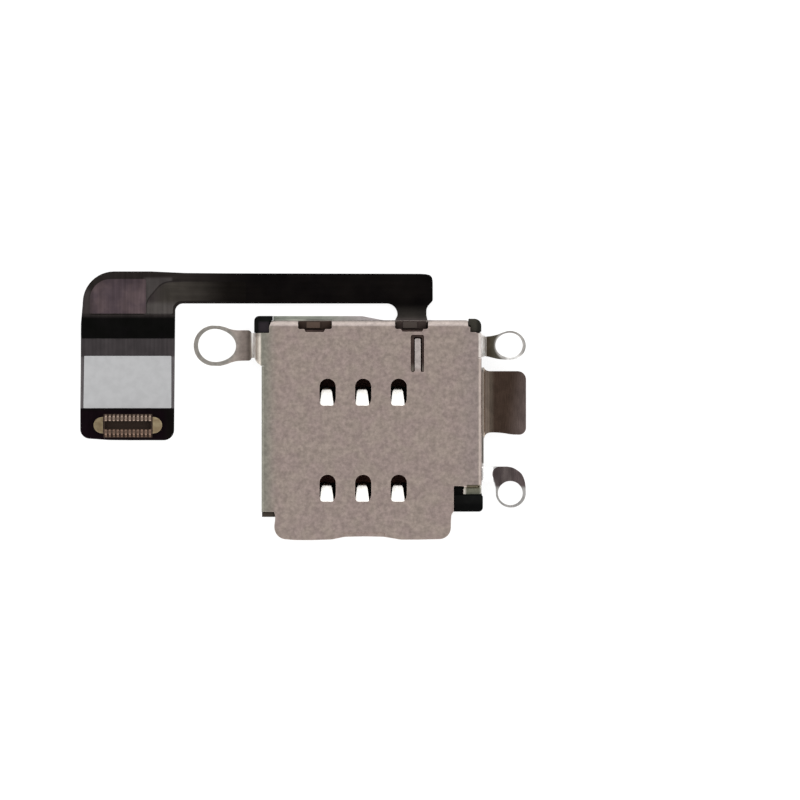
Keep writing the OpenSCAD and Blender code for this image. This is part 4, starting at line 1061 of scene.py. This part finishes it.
LEG_X = -15.95
FLEX = [(LEG_X - 0.015, -2.33, 0.68), (-13.9, -2.475, 3), (-12.4, -2.49, 3), (LEG_X + 6.7, -2.49, 0.75), (-9.16, 7.3, 0.56), (6.743, 7.3, 0.78), (6.743, 6.45, 0.3),
        (6.571, 6.1, 0.3), (6.571, 5.82), (-2.65, 5.82, 0.3), (-2.65, -7.75, 0.3), (10.4, -7.75, 0.3), (10.4, 5.82, 0.3), (8.9, 5.82),
        (8.9, 6.1, 0.3), (8.82, 6.45, 0.3), (8.82, 7, 0.6), (9.277, 7.5, 0.3), (9.272, 8.92, 1), (9.215, 9.185, 0.25),
        (9.07, 9.335, 0.25), (8.8, 9.402, 0.5), (8.4, 9.428, 2), (-5.5, 9.465, 8), (-8.4, 9.487, 8),
        (-10.9, 9.6, 5), (-15.79, 9.6, 2.25), (-15.79, 7.3, 3), (LEG_X + 0.03, 5.85, 2), (LEG_X + 0.015, 2.4, 8), (LEG_X - 0.015, -0.4, 8)]


def film(name, corners, z, t, edge, material, slot_name, *replaced, step=8):
    b = Build()
    b.sheet([rounded(corners, step)], t, level(z + t / 2), edge=edge, longest=1.5)
    return b.object(name, material, "reader", slot_name, *replaced)


def circuit():
    film("flex_film", FLEX, Z_FLEX, Z_PAD - Z_FLEX, 0.03, M["flex_film"], "flex_film", "flex_circuit")
    # stiffening tape across the leg, and the cover layer's windows over the corner and the turn
    film("flex_tape", [(-15.82, 6.50, 0.05), (-15.87, 4.80, 0.05), (-9.24, 4.80, 0.05), (-9.20, 6.50, 0.05)], Z_PAD, 0.035, 0.015,
         M["tape"], "flex_film")
    film("flex_cover_corner", [(-15.30, 6.58, 0.1), (-11.26, 6.58, 0.1), (-11.26, 9.06, 0.1), (-13.5, 9.06, 0.1), (-15.30, 9.03, 1.5)],
         Z_PAD, 0.02, 0.01, M["cover_corner"], "flex_film")
    film("flex_cover_turn", [(-11.20, 6.58, 0.1), (-9.35, 6.58, 0.1), (-9.30, 7.45, 0.6), (-8.3, 7.50, 0.3), (-4.1, 7.50, 0.05), (-4.1, 8.86, 0.05), (-8.6, 8.86, 1.6),
                               (-10.05, 8.80, 1.2), (-11.20, 7.45, 0.9)], Z_PAD, 0.02, 0.01, M["cover_turn"], "flex_film")
    # a thin dark rim stands out round the turn's cover
    film("flex_cover_dark_rim", [(-11.19, 6.6, 0.1), (-9.4, 6.6, 0.1), (-9.3, 7.6, 0.6), (-6.5, 7.6, 0.1), (-6.5, 8.80, 0.05), (-8.6, 8.95, 1.6),
                           (-10.11, 8.88, 1.2), (-11.24, 7.55, 0.9)], Z_PAD, 0.008, 0.003, M["tape"], "flex_film")
    film("label_sheet", [(-15.74, -0.19, 0.06), (-9.44, -0.19, 0.06), (-9.44, 3.55, 0.06), (-15.68, 3.55, 0.06)], Z_PAD, 0.05, 0.012,
         M["label_paper"], "label_paper", "label")


shield()
bracket()
plates()
corner_fillet()
insulator()
for c in range(3):
    for r in range(2):
        contact(c, r, True)
        contact(c, r, False)
pins()
cap(-1, "fitting_cap_left", "connector_fitting_left")
cap(1, "fitting_cap_right", "connector_fitting_right")
circuit()

# ---------------------------------------------------------------- CAD nodes that stay


def finish_cad(name, material, bevel=0.02, segments=2):
    """Gives a CAD node its material and rounds its moulded edges."""
    o = nodes[name]
    o.data.materials.clear()
    o.data.materials.append(material)
    for p in o.data.polygons:
        p.use_smooth = True
    w = o.modifiers.new("weld", "WELD")
    w.merge_threshold = 1e-7
    d = o.modifiers.new("flat", "DECIMATE")
    d.decimate_type = "DISSOLVE"
    d.angle_limit = math.radians(0.3)
    b = o.modifiers.new("edges", "BEVEL")
    b.width = bevel * MM
    b.segments = segments
    b.limit_method = "ANGLE"
    b.angle_limit = math.radians(35)
    b.harden_normals = False
    b.miter_outer = "MITER_ARC"
    n = o.modifiers.new("normals", "WEIGHTED_NORMAL")
    n.keep_sharp = False
    n.weight = 80
    return o


slot_of = {s["node"]: s["material_slot"] for s in frame["record"]["subparts"]}
for name, o in nodes.items():
    if not o.hide_render:
        finish_cad(name, M["lever" if name.startswith(("eject_lever", "lever_")) else slot_of[name]], 0.012 if "switch" in name else 0.02)
